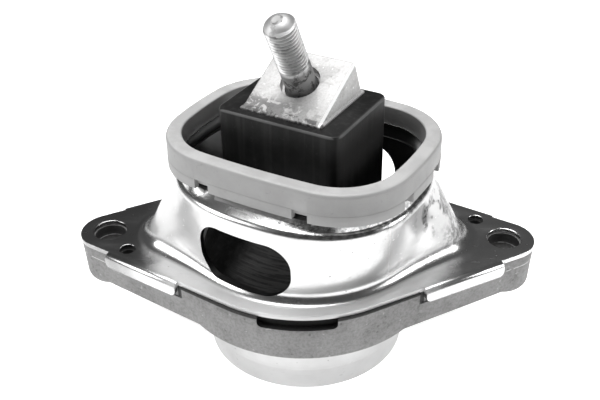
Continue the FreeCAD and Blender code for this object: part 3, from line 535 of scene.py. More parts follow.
@dataclass(frozen=True)
class StudFinish:
    """Plated stud: a dirty shank below, a bright thread with painted shade in its roots and a duller point.

    Args:
        name: material name.
        light, dark: grey levels.
        rough: roughness.
    """
    name: str
    light: float
    dark: float
    rough: float

    def build(self) -> bpy.types.Material:
        """Returns: the material."""
        s = StudSizes()
        g = Graph(self.name)
        here = g.place()
        off = g.vectors("SUBTRACT", here, tuple(stud_point(0.0))).outputs[0]
        run = Val(g, g.vectors("DOT_PRODUCT", off, tuple(stud_axis())).outputs["Value"])
        far = Val(g, g.vectors("DOT_PRODUCT", off, off).outputs["Value"])
        radius = (far - run * run).maximum(0.0) ** 0.5
        cloud = g.noise(here, 300.0, 4.0, 0.65, 0.4)
        grain = g.noise(here, 1600.0, 2.0)
        threaded = run.above(s.thread_low + 0.2, 0.3) * run.below(s.thread_high - 0.05, 0.15)
        # painted shade in the thread's roots
        root = radius.below(s.radius - 0.4, 0.2) * threaded
        point = run.above(s.thread_high - 0.1, 0.4)
        flat = run.above(s.tip - 0.1, 0.05)
        dirt = run.below(s.thread_low - 0.75, 1.75) * 0.65 + cloud.ramp(0.5, 0.64) * 0.30
        # the dirt share also carries the painted shade of the roots
        dirt = dirt + root * 0.40 + point * 0.10 + flat * 0.4
        colour = g.blend(dirt, grey(self.light), grey(self.dark, 0.02))
        rough = self.rough + dirt * 0.25 + cloud * 0.08 + point * 0.1
        normal = g.bump(grain + cloud, 0.00005, 0.5)
        return g.finish({"Base Color": colour, "Metallic": 1.0, "Roughness": rough, "Normal": normal})


class Finish(Enum):
    """Every finish of the mount, keyed by the record's slot."""
    housing_steel = SteelFinish("plated_housing", light=0.71, dark=0.05, rough=0.20, stained_and_shaded=True)
    # painted shade: a dark copy of the plated steel for the wall's inside, its undersides and the neck under
    # the stop ring
    housing_inside = SteelFinish("painted_shade_inside", light=0.10, dark=0.02, rough=0.30)
    cup_steel = SteelFinish("plated_cup", light=0.60, dark=0.26, rough=0.38)
    inner_steel = SteelFinish("phosphated_ring", light=0.55, dark=0.20, rough=0.40)
    core = AlloyFinish("blasted_core", light=0.62, dark=0.42, metal=0.45, rough=0.50, grain=1100.0,
                       dirty=0.4, marks=CoreMarks())
    cast_alloy = AlloyFinish("matt_casting", light=0.30, dark=0.15, metal=0.20, rough=0.60, grain=900.0,
                             dirty=0.30, marks=CastingMarks())
    plate_alloy = AlloyFinish("channel_plates", light=0.58, dark=0.35, metal=0.6, rough=0.45, grain=900.0,
                              dirty=0.2)
    rubber = RubberFinish("moulded_rubber", base=0.009, dust=0.034, rough=0.38)
    inner_rubber = RubberFinish("membrane_rubber", base=0.02, dust=0.05, rough=0.55)
    ring_plastic = PlasticFinish("ring_plastic", light=0.34, dark=0.24, rough=0.42, node="stop_ring")
    stud = StudFinish("plated_stud", light=0.66, dark=0.07, rough=0.36)


# ---- outlines ---------------------------------------------------------------------------
@dataclass(frozen=True)
class RingOutline:
    """Opening of the stop ring: eight arcs, in millimetres."""
    half_a: float = 44.0
    half_b: float = 33.1
    corner: float = 21.65
    bow_a: float = 143.5
    bow_b: float = 359.0

    def centres(self) -> tuple[Vector, Vector, Vector]:
        """Returns: arc centres of the short side, the long side and the corner."""
        side_a = Vector((self.half_a - self.bow_a, 0.0))
        side_b = Vector((0.0, self.half_b - self.bow_b))
        reach_a, reach_b = self.bow_a - self.corner, self.bow_b - self.corner
        span = side_b - side_a
        along = (span.length ** 2 + reach_a ** 2 - reach_b ** 2) / (2.0 * span.length)
        across = sqrt(reach_a ** 2 - along ** 2)
        unit = span.normalized()
        normal = Vector((-unit.y, unit.x))
        if normal.x < 0:
            normal = -normal
        return side_a, side_b, side_a + unit * along + normal * across

    def radius(self, angle: float, out: float) -> float:
        """Distance to the opening grown outward.

        Args:
            angle: in the mount's axes.
            out: growth.
        Returns: millimetres from the axis.
        """
        local = angle - TWIST
        way = Vector((abs(cos(local)), abs(sin(local))))
        side_a, side_b, corner = self.centres()
        turn_a = atan2(corner.y, corner.x - side_a.x)
        turn_b = atan2(corner.y - side_b.y, corner.x)
        best = 0.0
        for centre, bow in ((side_a, self.bow_a), (side_b, self.bow_b), (corner, self.corner)):
            along = centre.dot(way)
            rest = (bow + out) ** 2 - centre.length_squared + along * along
            if rest < 0:
                continue
            reach = along + sqrt(rest)
            hit = way * reach
            on_a = atan2(hit.y, hit.x - side_a.x) <= turn_a
            on_b = atan2(hit.y - side_b.y, hit.x) >= turn_b
            if (centre is side_a and on_a) or (centre is side_b and on_b):
                best = reach
            elif centre is corner and not on_a and not on_b and best == 0.0:
                best = reach
        return best


def stud_axis() -> Vector:
    """Returns: unit direction of the stud in the mount's axes."""
    return Matrix.Rotation(TWIST, 3, "Z") @ Vector((0.0, -sin(TILT), cos(TILT)))


def stud_point(along: float) -> Vector:
    """Returns: point on the stud axis this many millimetres above the wedge face, in metres."""
    foot = Matrix.Rotation(TWIST, 3, "Z") @ Vector(FOOT)
    return (foot + stud_axis() * along) * MM


# ---- mesh helpers -----------------------------------------------------------------------
def put(name: str, data: bpy.types.ID) -> bpy.types.Object:
    """Returns: a new object with this data, linked to the scene."""
    made = bpy.data.objects.new(name, data)
    bpy.context.scene.collection.objects.link(made)
    return made


class Draft:
    """Vertices and faces of a mesh in millimetres, turned into an object at the end."""

    def __init__(self) -> None:
        self.points: list[tuple[float, float, float]] = []
        self.faces: list[tuple[int, ...]] = []

    def row(self, points: Sequence[Sequence[float]]) -> list[int]:
        """Returns: indices of the points added."""
        start = len(self.points)
        self.points.extend(tuple(p) for p in points)
        return list(range(start, len(self.points)))

    def skin(self, rows: Sequence[list[int]], ring: bool = False) -> None:
        """Joins closed rows of equal length into quads.

        Args:
            rows: from the first to the last.
            ring: whether the last joins the first.
        """
        count = len(rows[0])
        pairs = list(zip(rows, rows[1:])) + ([(rows[-1], rows[0])] if ring else [])
        for low, high in pairs:
            for i in range(count):
                j = (i + 1) % count
                self.faces.append((low[i], low[j], high[j], high[i]))

    def between(self, first: Sequence[Vector], last: Sequence[Vector], steps: int) -> list[list[int]]:
        """Returns: rows that go evenly from one loop to another, without the first."""
        return [self.row([a.lerp(b, k / steps) for a, b in zip(first, last)]) for k in range(1, steps + 1)]

    def places(self, row: Sequence[int]) -> list[Vector]:
        """Returns: the points of a row."""
        return [Vector(self.points[i]) for i in row]

    def lathe(self, outline: Sequence[Sequence[float]], count: int) -> list[list[int]]:
        """Turns an outline round Z.

        Args:
            outline: radius and height of each row.
            count: points round the axis.
        Returns: the rows of points.
        """
        turns = [2.0 * pi * i / count for i in range(count)]
        return [self.row([(radius * cos(t), radius * sin(t), z) for t in turns]) for radius, z in outline]

    def cap(self, row: list[int], flip: bool = False) -> None:
        """Closes a row with one face."""
        self.faces.append(tuple(reversed(row)) if flip else tuple(row))

    def build(self, name: str, smooth: float = SMOOTH) -> bpy.types.Object:
        """Makes the object, with outward normals and smooth shading below an angle.

        Args:
            name: object name.
            smooth: degrees up to which edges are smooth.
        Returns: the linked object.
        """
        mesh = bpy.data.meshes.new(name)
        mesh.from_pydata([(x * MM, y * MM, z * MM) for x, y, z in self.points], [], self.faces)
        made = put(name, mesh)
        tidy(made, smooth)
        return made


def tidy(piece: bpy.types.Object, smooth: float) -> None:
    """Merges doubles, points normals outward and sets smooth shading below an angle.

    Args:
        piece: a mesh object.
        smooth: degrees.
    """
    work = bmesh.new()
    work.from_mesh(piece.data)
    bmesh.ops.remove_doubles(work, verts=work.verts, dist=1e-6)
    bmesh.ops.dissolve_degenerate(work, edges=work.edges, dist=1e-7)
    bmesh.ops.recalc_face_normals(work, faces=work.faces)
    for face in work.faces:
        face.smooth = True
    for edge in work.edges:
        edge.smooth = len(edge.link_faces) == 2 and edge.calc_face_angle(0.0) < radians(smooth)
    work.to_mesh(piece.data)
    work.free()


def cut(piece: bpy.types.Object, tool: bpy.types.Object) -> None:
    """Takes a tool's shape out of a piece and removes the tool."""
    step = piece.modifiers.new("cut", "BOOLEAN")
    step.operation, step.solver, step.object = "DIFFERENCE", "EXACT", tool
    settle(piece)
    bpy.data.objects.remove(tool)


def settle(piece: bpy.types.Object) -> None:
    """Turns a piece's modifiers into plain mesh."""
    bpy.context.view_layer.update()
    seen = piece.evaluated_get(bpy.context.evaluated_depsgraph_get())
    mesh = bpy.data.meshes.new_from_object(seen)
    piece.modifiers.clear()
    piece.data = mesh


def soften(piece: bpy.types.Object, width: float, angle: float, smooth: float) -> None:
    """Rounds the sharp edges of a piece a little.

    Args:
        piece: mesh object.
        width: millimetres.
        angle: degrees above which an edge is rounded.
        smooth: degrees up to which edges then shade smooth.
    """
    step = piece.modifiers.new("soften", "BEVEL")
    step.width, step.segments, step.limit_method = width * MM, 2, "ANGLE"
    step.angle_limit, step.use_clamp_overlap = radians(angle), True
    settle(piece)
    tidy(piece, smooth)


def dress(piece: bpy.types.Object, finish: bpy.types.Material) -> None:
    """Gives a mesh one material."""
    piece.data.materials.clear()
    piece.data.materials.append(finish)


def paint_inside_shade(piece: bpy.types.Object, finish: bpy.types.Material, low: float, top: float) -> None:
    """Gives the inside of the wall, its undersides and the neck under the stop ring a second, dark material:
    painted shade.

    Args:
        piece: the housing wall.
        finish: the dark material, painted shade.
        low: height in millimetres where the neck starts.
        top: height in millimetres up to which faces count as inside.
    """
    piece.data.materials.append(finish)
    # faces that face inward or down, or sit on the neck, get the painted shade
    for face in piece.data.polygons:
        inward = face.normal.x * face.center.x + face.normal.y * face.center.y < 0.0
        roof = face.normal.z < ROOF_SLOPE
        neck = face.center.z > low * MM
        if (inward or roof or neck) and face.center.z < top * MM:
            face.material_index = 1


def merged_copy(node: str, name: str, smooth: float) -> bpy.types.Object:
    """A welded copy of a CAD node's mesh.

    Args:
        node: CAD node name.
        name: new object's name.
        smooth: degrees up to which edges shade smooth.
    Returns: the linked copy.
    """
    made = put(name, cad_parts[node].data.copy())
    if made.data.has_custom_normals:
        with bpy.context.temp_override(object=made, active_object=made):
            bpy.ops.mesh.customdata_custom_splitnormals_clear()
    tidy(made, smooth)
    return made


def settle_in(piece: bpy.types.Object, node: str, slot: str,
              materials: dict[str, bpy.types.Material]) -> None:
    """Hands a finished piece to the frame.

    Args:
        piece: the mesh object.
        node: the CAD node it stands for.
        slot: the record's material slot.
        materials: finishes by slot.
    """
    dress(piece, materials[slot])
    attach(piece, BODY)
    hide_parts(node)
    LOG.info("piece %s for %s: %d faces", piece.name, node, len(piece.data.polygons))


# ---- housing ----------------------------------------------------------------------------
@dataclass(frozen=True)
class HousingSizes:
    """Sizes of the pressed housing, millimetres."""
    spacing: float = 160.0
    flange_r: float = 52.0
    ear_r: float = 12.0
    top: float = 47.2
    sheet: float = 2.0
    hole_r: float = 6.65
    locate_r: float = 3.1
    locate_x: float = 70.0
    locate_y: float = 13.1
    wall_r: float = 42.8
    lobe_x: float = 50.9
    lobe_r: float = 14.2
    blend: float = 5.0
    shoulder_a: float = 49.4
    shoulder_b: float = 43.3
    power: float = 2.4
    shoulder_z: float = 79.0
    round_r: float = 3.0
    swing: float = radians(66.0)
    cap_z: float = 82.4
    collar_z: float = 87.8
    collar_in: float = -0.5
    ledge: float = 1.0
    fillet: float = 4.5
    fillet_lobe: float = 4.0
    slot_l: float = 39.6
    slot_h: float = 22.0
    slot_r: float = 9.5
    slot_z: float = 60.2
    slot_swing: float = radians(-2.66)
    tab_in: float = 46.3
    tab_out: float = 77.2
    tab_drop: float = 5.9
    bend: float = 0.4
    tab_corner: float = 2.5


class Housing:
    """The pressed steel housing: wall, collar, flange and crimp tabs.

    Args:
        sizes: its sizes.
        ring: outline of the stop ring opening.
    """
    COLUMNS = 480
    FILLET_ROWS, WALL_ROWS, ROUND_ROWS, CAP_ROWS, INNER_ROWS = 10, 14, 12, 4, 8
    ARC_STEPS, HOLE_STEPS, INNER_STEPS, EDGE_STEPS, BEND_STEPS = 48, 64, 240, 4, 8
    SLOT_STEPS, SLOT_REACH = 16, 80.0
    LIFT = 0.003

    def __init__(self, sizes: HousingSizes, ring: RingOutline) -> None:
        self.s = sizes
        self.ring = ring
        self.phi = acos((sizes.flange_r - sizes.ear_r) / (sizes.spacing / 2.0))

    def lobe(self, angle: float, lobe_r: float) -> float:
        """Returns: distance to a side lobe's outline."""
        s = self.s
        folded = min(abs(atan2(sin(angle), abs(cos(angle)))), self.phi)
        side = s.lobe_x * cos(self.phi) + lobe_r
        tangent = atan2(lobe_r * sin(self.phi), s.lobe_x + lobe_r * cos(self.phi))
        if folded < tangent:
            return s.lobe_x * cos(folded) + sqrt(lobe_r ** 2 - (s.lobe_x * sin(folded)) ** 2)
        return side / cos(folded - self.phi)

    def foot(self, angle: float, inset: float) -> float:
        """Returns: wall outline at the flange."""
        wall, lobe = self.s.wall_r - inset, self.lobe(angle, self.s.lobe_r - inset)
        return (wall + lobe + hypot(wall - lobe, self.s.blend)) / 2.0

    def shoulder(self, angle: float, inset: float) -> float:
        """Returns: outline of the shoulder."""
        s, local = self.s, angle - TWIST
        part_a = (abs(cos(local)) / (s.shoulder_a - inset)) ** s.power
        part_b = (abs(sin(local)) / (s.shoulder_b - inset)) ** s.power
        return (part_a + part_b) ** (-1.0 / s.power)

    def wall(self) -> bpy.types.Object:
        """Returns: the closed wall with fillet, shoulder, cap and collar, slots cut."""
        s, count = self.s, self.COLUMNS
        angles = [2.0 * pi * i / count for i in range(count)]
        ways = [Vector((cos(a), sin(a))) for a in angles]
        low_z, high_z = s.top - s.sheet / 2.0, s.shoulder_z - s.round_r
        feet = [w * self.foot(a, 0.0) for a, w in zip(angles, ways)]
        tops = [w * self.shoulder(a, 0.0) for a, w in zip(angles, ways)]
        start = [f.lerp(t, (s.top - low_z) / (high_z - low_z)) for f, t in zip(feet, tops)]
        normals = []
        for i in range(count):
            run = (start[(i + 1) % count] - start[i - 1]).normalized()
            normals.append(Vector((run.y, -run.x)))
        leans = [atan2((p - t).dot(n), high_z - s.top) for p, t, n in zip(start, tops, normals)]
        rounds = [s.fillet + s.fillet_lobe * abs(cos(a)) ** 6 for a in angles]
        offs = [r * (1.0 - sin(a)) / cos(a) for r, a in zip(rounds, leans)]
        draft = Draft()
        rows = [draft.row([(*(p + n * d), s.top - s.sheet * 0.7) for p, n, d in zip(start, normals, offs)])]
        for k in range(self.FILLET_ROWS + 1):
            ring = []
            for p, n, d, a, r in zip(start, normals, offs, leans, rounds):
                t = pi / 2.0 + (a - pi / 2.0) * k / self.FILLET_ROWS
                ring.append((*(p + n * (d - r * cos(t))), s.top + self.LIFT + r * (1.0 - sin(t))))
            rows.append(draft.row(ring))
        ends = [Vector((*t, high_z)) for t in tops]
        rows += draft.between(draft.places(rows[-1]), ends, self.WALL_ROWS)
        for k in range(1, self.ROUND_ROWS + 1):
            swing = s.swing * k / self.ROUND_ROWS
            inset, z = s.round_r * (1.0 - cos(swing)), s.shoulder_z + s.round_r * (sin(swing) - 1.0)
            rows.append(self.polar(draft, lambda a, d=inset: self.shoulder(a, d), z))
        seat = s.collar_in + s.sheet
        cap = [Vector((*(w * self.ring.radius(a, seat + s.ledge)), s.cap_z)) for a, w in zip(angles, ways)]
        rows += draft.between(draft.places(rows[-1]), cap, self.CAP_ROWS)
        for out, z in ((seat + 0.35, s.cap_z + 0.02), (seat + 0.08, s.cap_z + 0.12), (seat, s.cap_z + 0.4),
                       (seat, s.collar_z - 0.35), (seat - 0.1, s.collar_z - 0.1), (seat - 0.35, s.collar_z),
                       (s.collar_in + 0.35, s.collar_z), (s.collar_in + 0.1, s.collar_z - 0.1),
                       (s.collar_in, s.collar_z - 0.35), (s.collar_in, s.cap_z),
                       (s.collar_in + 0.5, s.cap_z - 0.9),
                       (s.collar_in + s.ledge, s.cap_z - s.sheet * 0.6)):
            rows.append(self.polar(draft, lambda a, o=out: self.ring.radius(a, o), z))
        rows.append(self.polar(draft, lambda a: self.shoulder(a, s.sheet), s.shoulder_z - s.sheet * 0.6))
        base = [Vector((*(w * self.foot(a, s.sheet)), s.top - s.sheet * 0.7)) for a, w in zip(angles, ways)]
        rows += draft.between(draft.places(rows[-1]), base, self.INNER_ROWS)
        draft.skin(rows, ring=True)
        made = draft.build("housing_wall")
        cut(made, self.slot_tool())
        tidy(made, SMOOTH)
        return made

    def polar(self, draft: Draft, radius: Outline, z: float) -> list[int]:
        """Returns: a closed row of points at equal angles."""
        turns = [2.0 * pi * i / self.COLUMNS for i in range(self.COLUMNS)]
        return draft.row([(radius(a) * cos(a), radius(a) * sin(a), z) for a in turns])

    def slot_tool(self) -> bpy.types.Object:
        """Returns: the rounded prism through both long sides."""
        s = self.s
        flat_x, flat_z = s.slot_l / 2.0 - s.slot_r, s.slot_h / 2.0 - s.slot_r
        outline = []
        for quarter in range(4):
            cx = flat_x * (1 if quarter in (0, 3) else -1)
            cz = flat_z * (1 if quarter in (0, 1) else -1)
            for k in range(self.SLOT_STEPS + 1):
                turn = pi / 2.0 * (quarter + k / self.SLOT_STEPS)
                outline.append((cx + s.slot_r * cos(turn), s.slot_z + cz + s.slot_r * sin(turn)))
        draft = Draft()
        rows = []
        turn = TWIST + s.slot_swing
        for y in (-self.SLOT_REACH, self.SLOT_REACH):
            rows.append(draft.row([(x * cos(turn) - y * sin(turn), x * sin(turn) + y * cos(turn), z)
                                   for x, z in outline]))
        draft.skin(rows)
        draft.cap(rows[0], True)
        draft.cap(rows[1])
        return draft.build("slot_tool")

    def flange(self) -> bpy.types.Object:
        """Returns: the flange plate with rounded edges and its holes."""
        s, half = self.s, self.s.spacing / 2.0
        outer = []
        for centre, radius, low, high in ((0.0, s.flange_r, self.phi, pi - self.phi),
                                          (-half, s.ear_r, pi - self.phi, pi + self.phi),
                                          (0.0, s.flange_r, pi + self.phi, 2.0 * pi - self.phi),
                                          (half, s.ear_r, 2.0 * pi - self.phi, 2.0 * pi + self.phi)):
            for k in range(self.ARC_STEPS + 1):
                turn = low + (high - low) * k / self.ARC_STEPS
                way = Vector((cos(turn), sin(turn)))
                outer.append((Vector((centre + radius * cos(turn), radius * sin(turn))), way))
        loops = [(outer, 0.3)]
        holes = [(x, 0.0, s.hole_r, 0.55) for x in (-half, half)]
        holes += [(k * s.locate_x, k * s.locate_y, s.locate_r, 0.3) for k in (-1, 1)]
        for x, y, radius, edge in holes:
            turns = [2.0 * pi * k / self.HOLE_STEPS for k in range(self.HOLE_STEPS)]
            loops.append(([(Vector((x + radius * cos(t), y + radius * sin(t))), Vector((-cos(t), -sin(t))))
                           for t in turns], edge))
        inner = []
        for k in range(self.INNER_STEPS):
            t = 2.0 * pi * k / self.INNER_STEPS
            way = Vector((cos(t), sin(t)))
            inner.append((way * (self.foot(t, s.sheet)), -way))
        loops.append((inner, 0.1))
        draft = Draft()
        faces_top, faces_low = [], []
        for loop, edge in loops:
            bends = [pi / 2.0 * k / self.EDGE_STEPS for k in range(self.EDGE_STEPS + 1)]
            steps = [(1.0 - sin(t), s.top - edge * (1.0 - cos(t))) for t in bends]
            steps += [(1.0 - cos(t), s.top - s.sheet + edge * (1.0 - sin(t))) for t in bends]
            rows = [draft.row([(*(p - n * edge * share), z) for p, n in loop]) for share, z in steps]
            draft.skin(rows)
            faces_top.append(rows[0])
            faces_low.append(rows[-1])
        for rings in (faces_top, faces_low):
            flat = [i for ring in rings for i in ring]
            level = [[Vector((*draft.points[i][:2], 0.0)) for i in ring] for ring in rings]
            draft.faces.extend(tuple(flat[i] for i in tri) for tri in tessellate_polygon(level))
        return draft.build("housing_flange", 25.0)

    def tabs(self) -> bpy.types.Object:
        """Returns: the four bent crimp tabs as one object."""
        s = self.s
        turn_r = s.bend + s.sheet
        path = [(s.flange_r - 1.5, s.top - 0.3, 0.0), (s.flange_r - 0.2, s.top + 0.004, 0.0),
                (s.flange_r, s.top + 0.004, 0.0)]
        path += [(s.flange_r + turn_r * sin(t), s.top - turn_r * (1.0 - cos(t)), t)
                 for t in (pi / 2.0 * k / self.BEND_STEPS for k in range(1, self.BEND_STEPS + 1))]
        low = s.top - s.tab_drop
        face = s.flange_r + turn_r
        path += [(face, low + s.tab_corner * (1.0 - k / self.BEND_STEPS), pi / 2.0)
                 for k in range(self.BEND_STEPS + 1)]
        near = (s.flange_r * cos(self.phi) - s.tab_out) / sin(self.phi)
        far = (s.flange_r * cos(self.phi) - s.tab_in) / sin(self.phi)
        draft = Draft()
        for mirror_x in (1, -1):
            for mirror_y in (1, -1):
                rows = []
                for n, z, t in path:
                    rise = max(0.0, low + s.tab_corner - z)
                    left = sqrt(max(0.0, s.tab_corner ** 2 - rise ** 2))
                    shrink = s.tab_corner - left if n == face else 0.0
                    back = (n - s.sheet * sin(t), z - s.sheet * cos(t))
                    ring = [(n, z, near + shrink), (n, z, far - shrink), (*back, far - shrink),
                            (*back, near + shrink)]
                    rows.append(draft.row([self.side_point(*p, mirror_x, mirror_y) for p in ring]))
                draft.skin(rows)
                draft.cap(rows[0], True)
                draft.cap(rows[-1])
        made = draft.build("housing_tabs")
        soften(made, 0.3, 50.0, SMOOTH)
        return made

    def side_point(self, n: float, z: float, run: float, mirror_x: int,
                   mirror_y: int) -> tuple[float, float, float]:
        """Point beside a straight side of the flange.

        Args:
            n: distance from the axis along the side's normal.
            z: height.
            run: distance along the side from the normal's foot.
            mirror_x, mirror_y: which of the four sides.
        Returns: millimetres in the mount's axes.
        """
        x = n * cos(self.phi) - run * sin(self.phi)
        y = n * sin(self.phi) + run * cos(self.phi)
        return (x * mirror_x, y * mirror_y, z)

    def build(self, materials: dict[str, bpy.types.Material]) -> None:
        """Builds the pieces and hands them to the frame."""
        wall = self.wall()
        for piece in (wall, self.flange(), self.tabs()):
            settle_in(piece, "housing", "housing_steel", materials)
        # painted shade on the wall's inside, its undersides and the neck under the stop ring
        paint_inside_shade(wall, materials["housing_inside"], self.s.cap_z - 0.6, self.s.collar_z - 0.5)


# ---- stud -------------------------------------------------------------------------------
@dataclass(frozen=True)
class StudSizes:
    """Sizes of the stud, millimetres along its axis from the wedge face."""
    radius: float = 5.9
    root: float = 5.05
    pitch: float = 1.5
    thread_low: float = 10.0
    thread_high: float = 29.8
    tip: float = 32.3
    point_r: float = 5.45
    flat_r: float = 2.0
    foot: float = -2.9
    bulge: float = 0.32
    thread_half: float = 0.13
    sunk: float = 0.15


class Stud:
    """The threaded stud: a lathed core and a thread made by geometry nodes.

    Args:
        sizes: its sizes.
    """

    COLUMNS, POINT_ROWS, THREAD_STEPS = 96, 12, 72

    def __init__(self, sizes: StudSizes) -> None:
        self.s = sizes

    def place(self) -> Matrix:
        """Returns: matrix from the stud's own axes, in metres, to the mount's."""
        turn = stud_axis().to_track_quat("Z", "Y").to_matrix().to_4x4()
        return Matrix.Translation(stud_point(0.0)) @ turn

    def core(self) -> bpy.types.Object:
        """Returns: shank, thread root and rounded point."""
        s, draft = self.s, Draft()
        outline = [(s.radius + 0.7, s.foot), (s.radius + 0.25, s.foot + 1.4), (s.radius, s.foot + 2.6),
                   (s.radius, s.thread_low - 1.6), (s.radius - 0.08, s.thread_low - 1.2),
                   (s.root, s.thread_low - 0.2), (s.root, s.thread_high - 0.4)]
        reach = s.tip - s.thread_high
        for k in range(self.POINT_ROWS + 1):
            share = k / self.POINT_ROWS
            bulge = s.bulge * sin(pi * share)
            outline.append((s.point_r - (s.point_r - s.flat_r) * share + bulge * 0.6,
                            s.thread_high + reach * share + bulge * 0.8))
        outline.append((s.flat_r * 0.8, s.tip - 0.05))
        rows = draft.lathe(outline, self.COLUMNS)
        draft.skin(rows)
        draft.cap(rows[0], True)
        draft.cap(rows[-1])
        return draft.build("stud_core", 38.0)

    def thread(self, finish: bpy.types.Material) -> bpy.types.Object:
        """Sweeps a thread profile along a helix with geometry nodes.

        Args:
            finish: material set by the tree.
        Returns: the thread as a plain mesh object.
        """
        s = self.s
        tree = bpy.data.node_groups.new("thread", "GeometryNodeTree")
        tree.interface.new_socket("Geometry", in_out="OUTPUT", socket_type="NodeSocketGeometry")
        add, link = tree.nodes.new, tree.links.new
        names = (("Turns", "NodeSocketFloat"), ("Height", "NodeSocketFloat"), ("Radius", "NodeSocketFloat"))
        sockets = {n: tree.interface.new_socket(n, in_out="INPUT", socket_type=k) for n, k in names}
        gi, go = add("NodeGroupInput"), add("NodeGroupOutput")
        spiral = add("GeometryNodeCurveSpiral")
        spiral.inputs["Resolution"].default_value = self.THREAD_STEPS
        link(gi.outputs["Turns"], spiral.inputs["Rotations"])
        link(gi.outputs["Height"], spiral.inputs["Height"])
        link(gi.outputs["Radius"], spiral.inputs["Start Radius"])
        link(gi.outputs["Radius"], spiral.inputs["End Radius"])
        upright = add("GeometryNodeSetCurveNormal")
        upright.mode = "Z_UP"
        link(spiral.outputs[0], upright.inputs["Curve"])
        profile = add("GeometryNodeCurvePrimitiveQuadrilateral")
        profile.mode = "POINTS"
        crest, low_half = s.radius - s.root, s.pitch * 0.49
        corners = ((-s.sunk, -low_half), (crest, -s.thread_half), (crest, s.thread_half),
                   (-s.sunk, low_half))
        for k, (out, up) in enumerate(corners):
            profile.inputs["Point %d" % (k + 1)].default_value = (-out * MM, up * MM, 0.0)
        sweep = add("GeometryNodeCurveToMesh")
        sweep.inputs["Fill Caps"].default_value = True
        link(upright.outputs[0], sweep.inputs["Curve"])
        link(profile.outputs[0], sweep.inputs["Profile Curve"])
        real = add("GeometryNodeRealizeInstances")
        link(sweep.outputs[0], real.inputs[0])
        paint = add("GeometryNodeSetMaterial")
        paint.inputs["Material"].default_value = finish
        link(real.outputs[0], paint.inputs[0])
        link(paint.outputs[0], go.inputs[0])
        made = put("stud_thread", bpy.data.meshes.new("stud_thread"))
        step = made.modifiers.new("thread", "NODES")
        step.node_group = tree
        length = s.thread_high - s.thread_low
        for name, value in (("Turns", length / s.pitch), ("Height", length * MM), ("Radius", s.root * MM)):
            step[sockets[name].identifier] = value
        settle(made)
        made.data.transform(Matrix.Translation((0.0, 0.0, s.thread_low * MM)))
        tidy(made, 30.0)
        return made

    def build(self, materials: dict[str, bpy.types.Material]) -> None:
        """Builds the pieces and hands them to the frame."""
        for piece in (self.core(), self.thread(materials["stud"])):
            piece.data.transform(self.place())
            settle_in(piece, "stud", "stud", materials)


# ---- cup --------------------------------------------------------------------------------
@dataclass(frozen=True)
class CupSizes:
    """Sizes of the drawn cup, millimetres."""
    radius: float = 42.3
    sheet: float = 1.5
    turn_z: float = 12.6
    top_z: float = 31.0
    floor_r: float = 35.4
    corner_r: float = 5.0
    bow_in: float = 1.5
    bow_share: float = 0.4
    corner_h: float = 1.6
    rim_r: float = 49.2
    centre_r: float = 12.0
    bore_r: float = 0.6


class Cup:
    """The drawn bottom cup.

    Args:
        sizes: its sizes.
    """

    COLUMNS, SIDE_STEPS, CORNER_STEPS = 192, 16, 8

    def __init__(self, sizes: CupSizes) -> None:
        self.s = sizes

    @staticmethod
    def arc(start: Vector, middle: Vector, end: Vector, count: int) -> list[Vector]:
        """Returns: points on the circle through three points, without the first."""
        ax, ay, bx, by, cx, cy = *start, *middle, *end
        det = 2.0 * (ax * (by - cy) + bx * (cy - ay) + cx * (ay - by))
        sa, sb, sc = start.length_squared, middle.length_squared, end.length_squared
        centre = Vector(((sa * (by - cy) + sb * (cy - ay) + sc * (ay - by)) / det,
                         (sa * (cx - bx) + sb * (ax - cx) + sc * (bx - ax)) / det))
        first, last = start - centre, end - centre
        sweep = first.angle_signed(last)
        return [centre + Matrix.Rotation(-sweep * k / count, 2) @ first for k in range(1, count + 1)]

    def side(self, inset: float) -> list[Vector]:
        """Returns: outline from the turn down to the floor, for one face of the sheet."""
        s = self.s
        turn = Vector((s.radius - inset, s.turn_z))
        middle = Vector((s.radius - s.bow_in - inset * 0.9, s.turn_z * s.bow_share + inset * 0.4))
        corner = Vector((s.floor_r + s.corner_r, inset + s.corner_h))
        bow = Vector((s.floor_r + s.corner_r * 0.55, inset + 0.35))
        edge = Vector((s.floor_r, inset))
        long_part = self.arc(turn, middle, corner, self.SIDE_STEPS)
        return [turn] + long_part + self.arc(corner, bow, edge, self.CORNER_STEPS)

    def build(self, materials: dict[str, bpy.types.Material]) -> None:
        """Builds the cup and hands it to the frame."""
        s, draft = self.s, Draft()
        groove = [(s.radius, s.top_z - 0.8), (s.radius, s.turn_z + 3.2), (s.radius, s.turn_z + 0.9),
                  (s.radius - 0.03, s.turn_z + 0.5), (s.radius - 0.09, s.turn_z + 0.3),
                  (s.radius - 0.05, s.turn_z + 0.1)]
        outer = groove + [tuple(p) for p in self.side(0.0)[1:]]
        inner = [(s.radius - s.sheet, s.top_z)] + [tuple(p) for p in self.side(s.sheet)]
        floor = [(s.centre_r, 0.0), (s.bore_r, 0.0), (s.bore_r, s.sheet), (s.centre_r, s.sheet)]
        rim = [(s.rim_r, s.top_z), (s.rim_r, s.top_z - s.sheet), (s.radius, s.top_z - s.sheet)]
        draft.skin(draft.lathe(outer + floor + inner[::-1] + rim, self.COLUMNS), ring=True)
        settle_in(draft.build("drawn_cup", 35.0), "bottom_cup", "cup_steel", materials)


# ---- pieces taken from the CAD meshes -----------------------------------------------------
@dataclass(frozen=True)
class CopySpec:
    """How a CAD node becomes a visible piece, softened where the width is above 0.

    Args:
        node: CAD node.
        slot: material slot.
        width: edge rounding, millimetres.
        angle: degrees above which an edge is rounded.
        smooth: degrees up to which edges shade smooth.
    """
    node: str
    slot: str
    width: float
    angle: float
    smooth: float


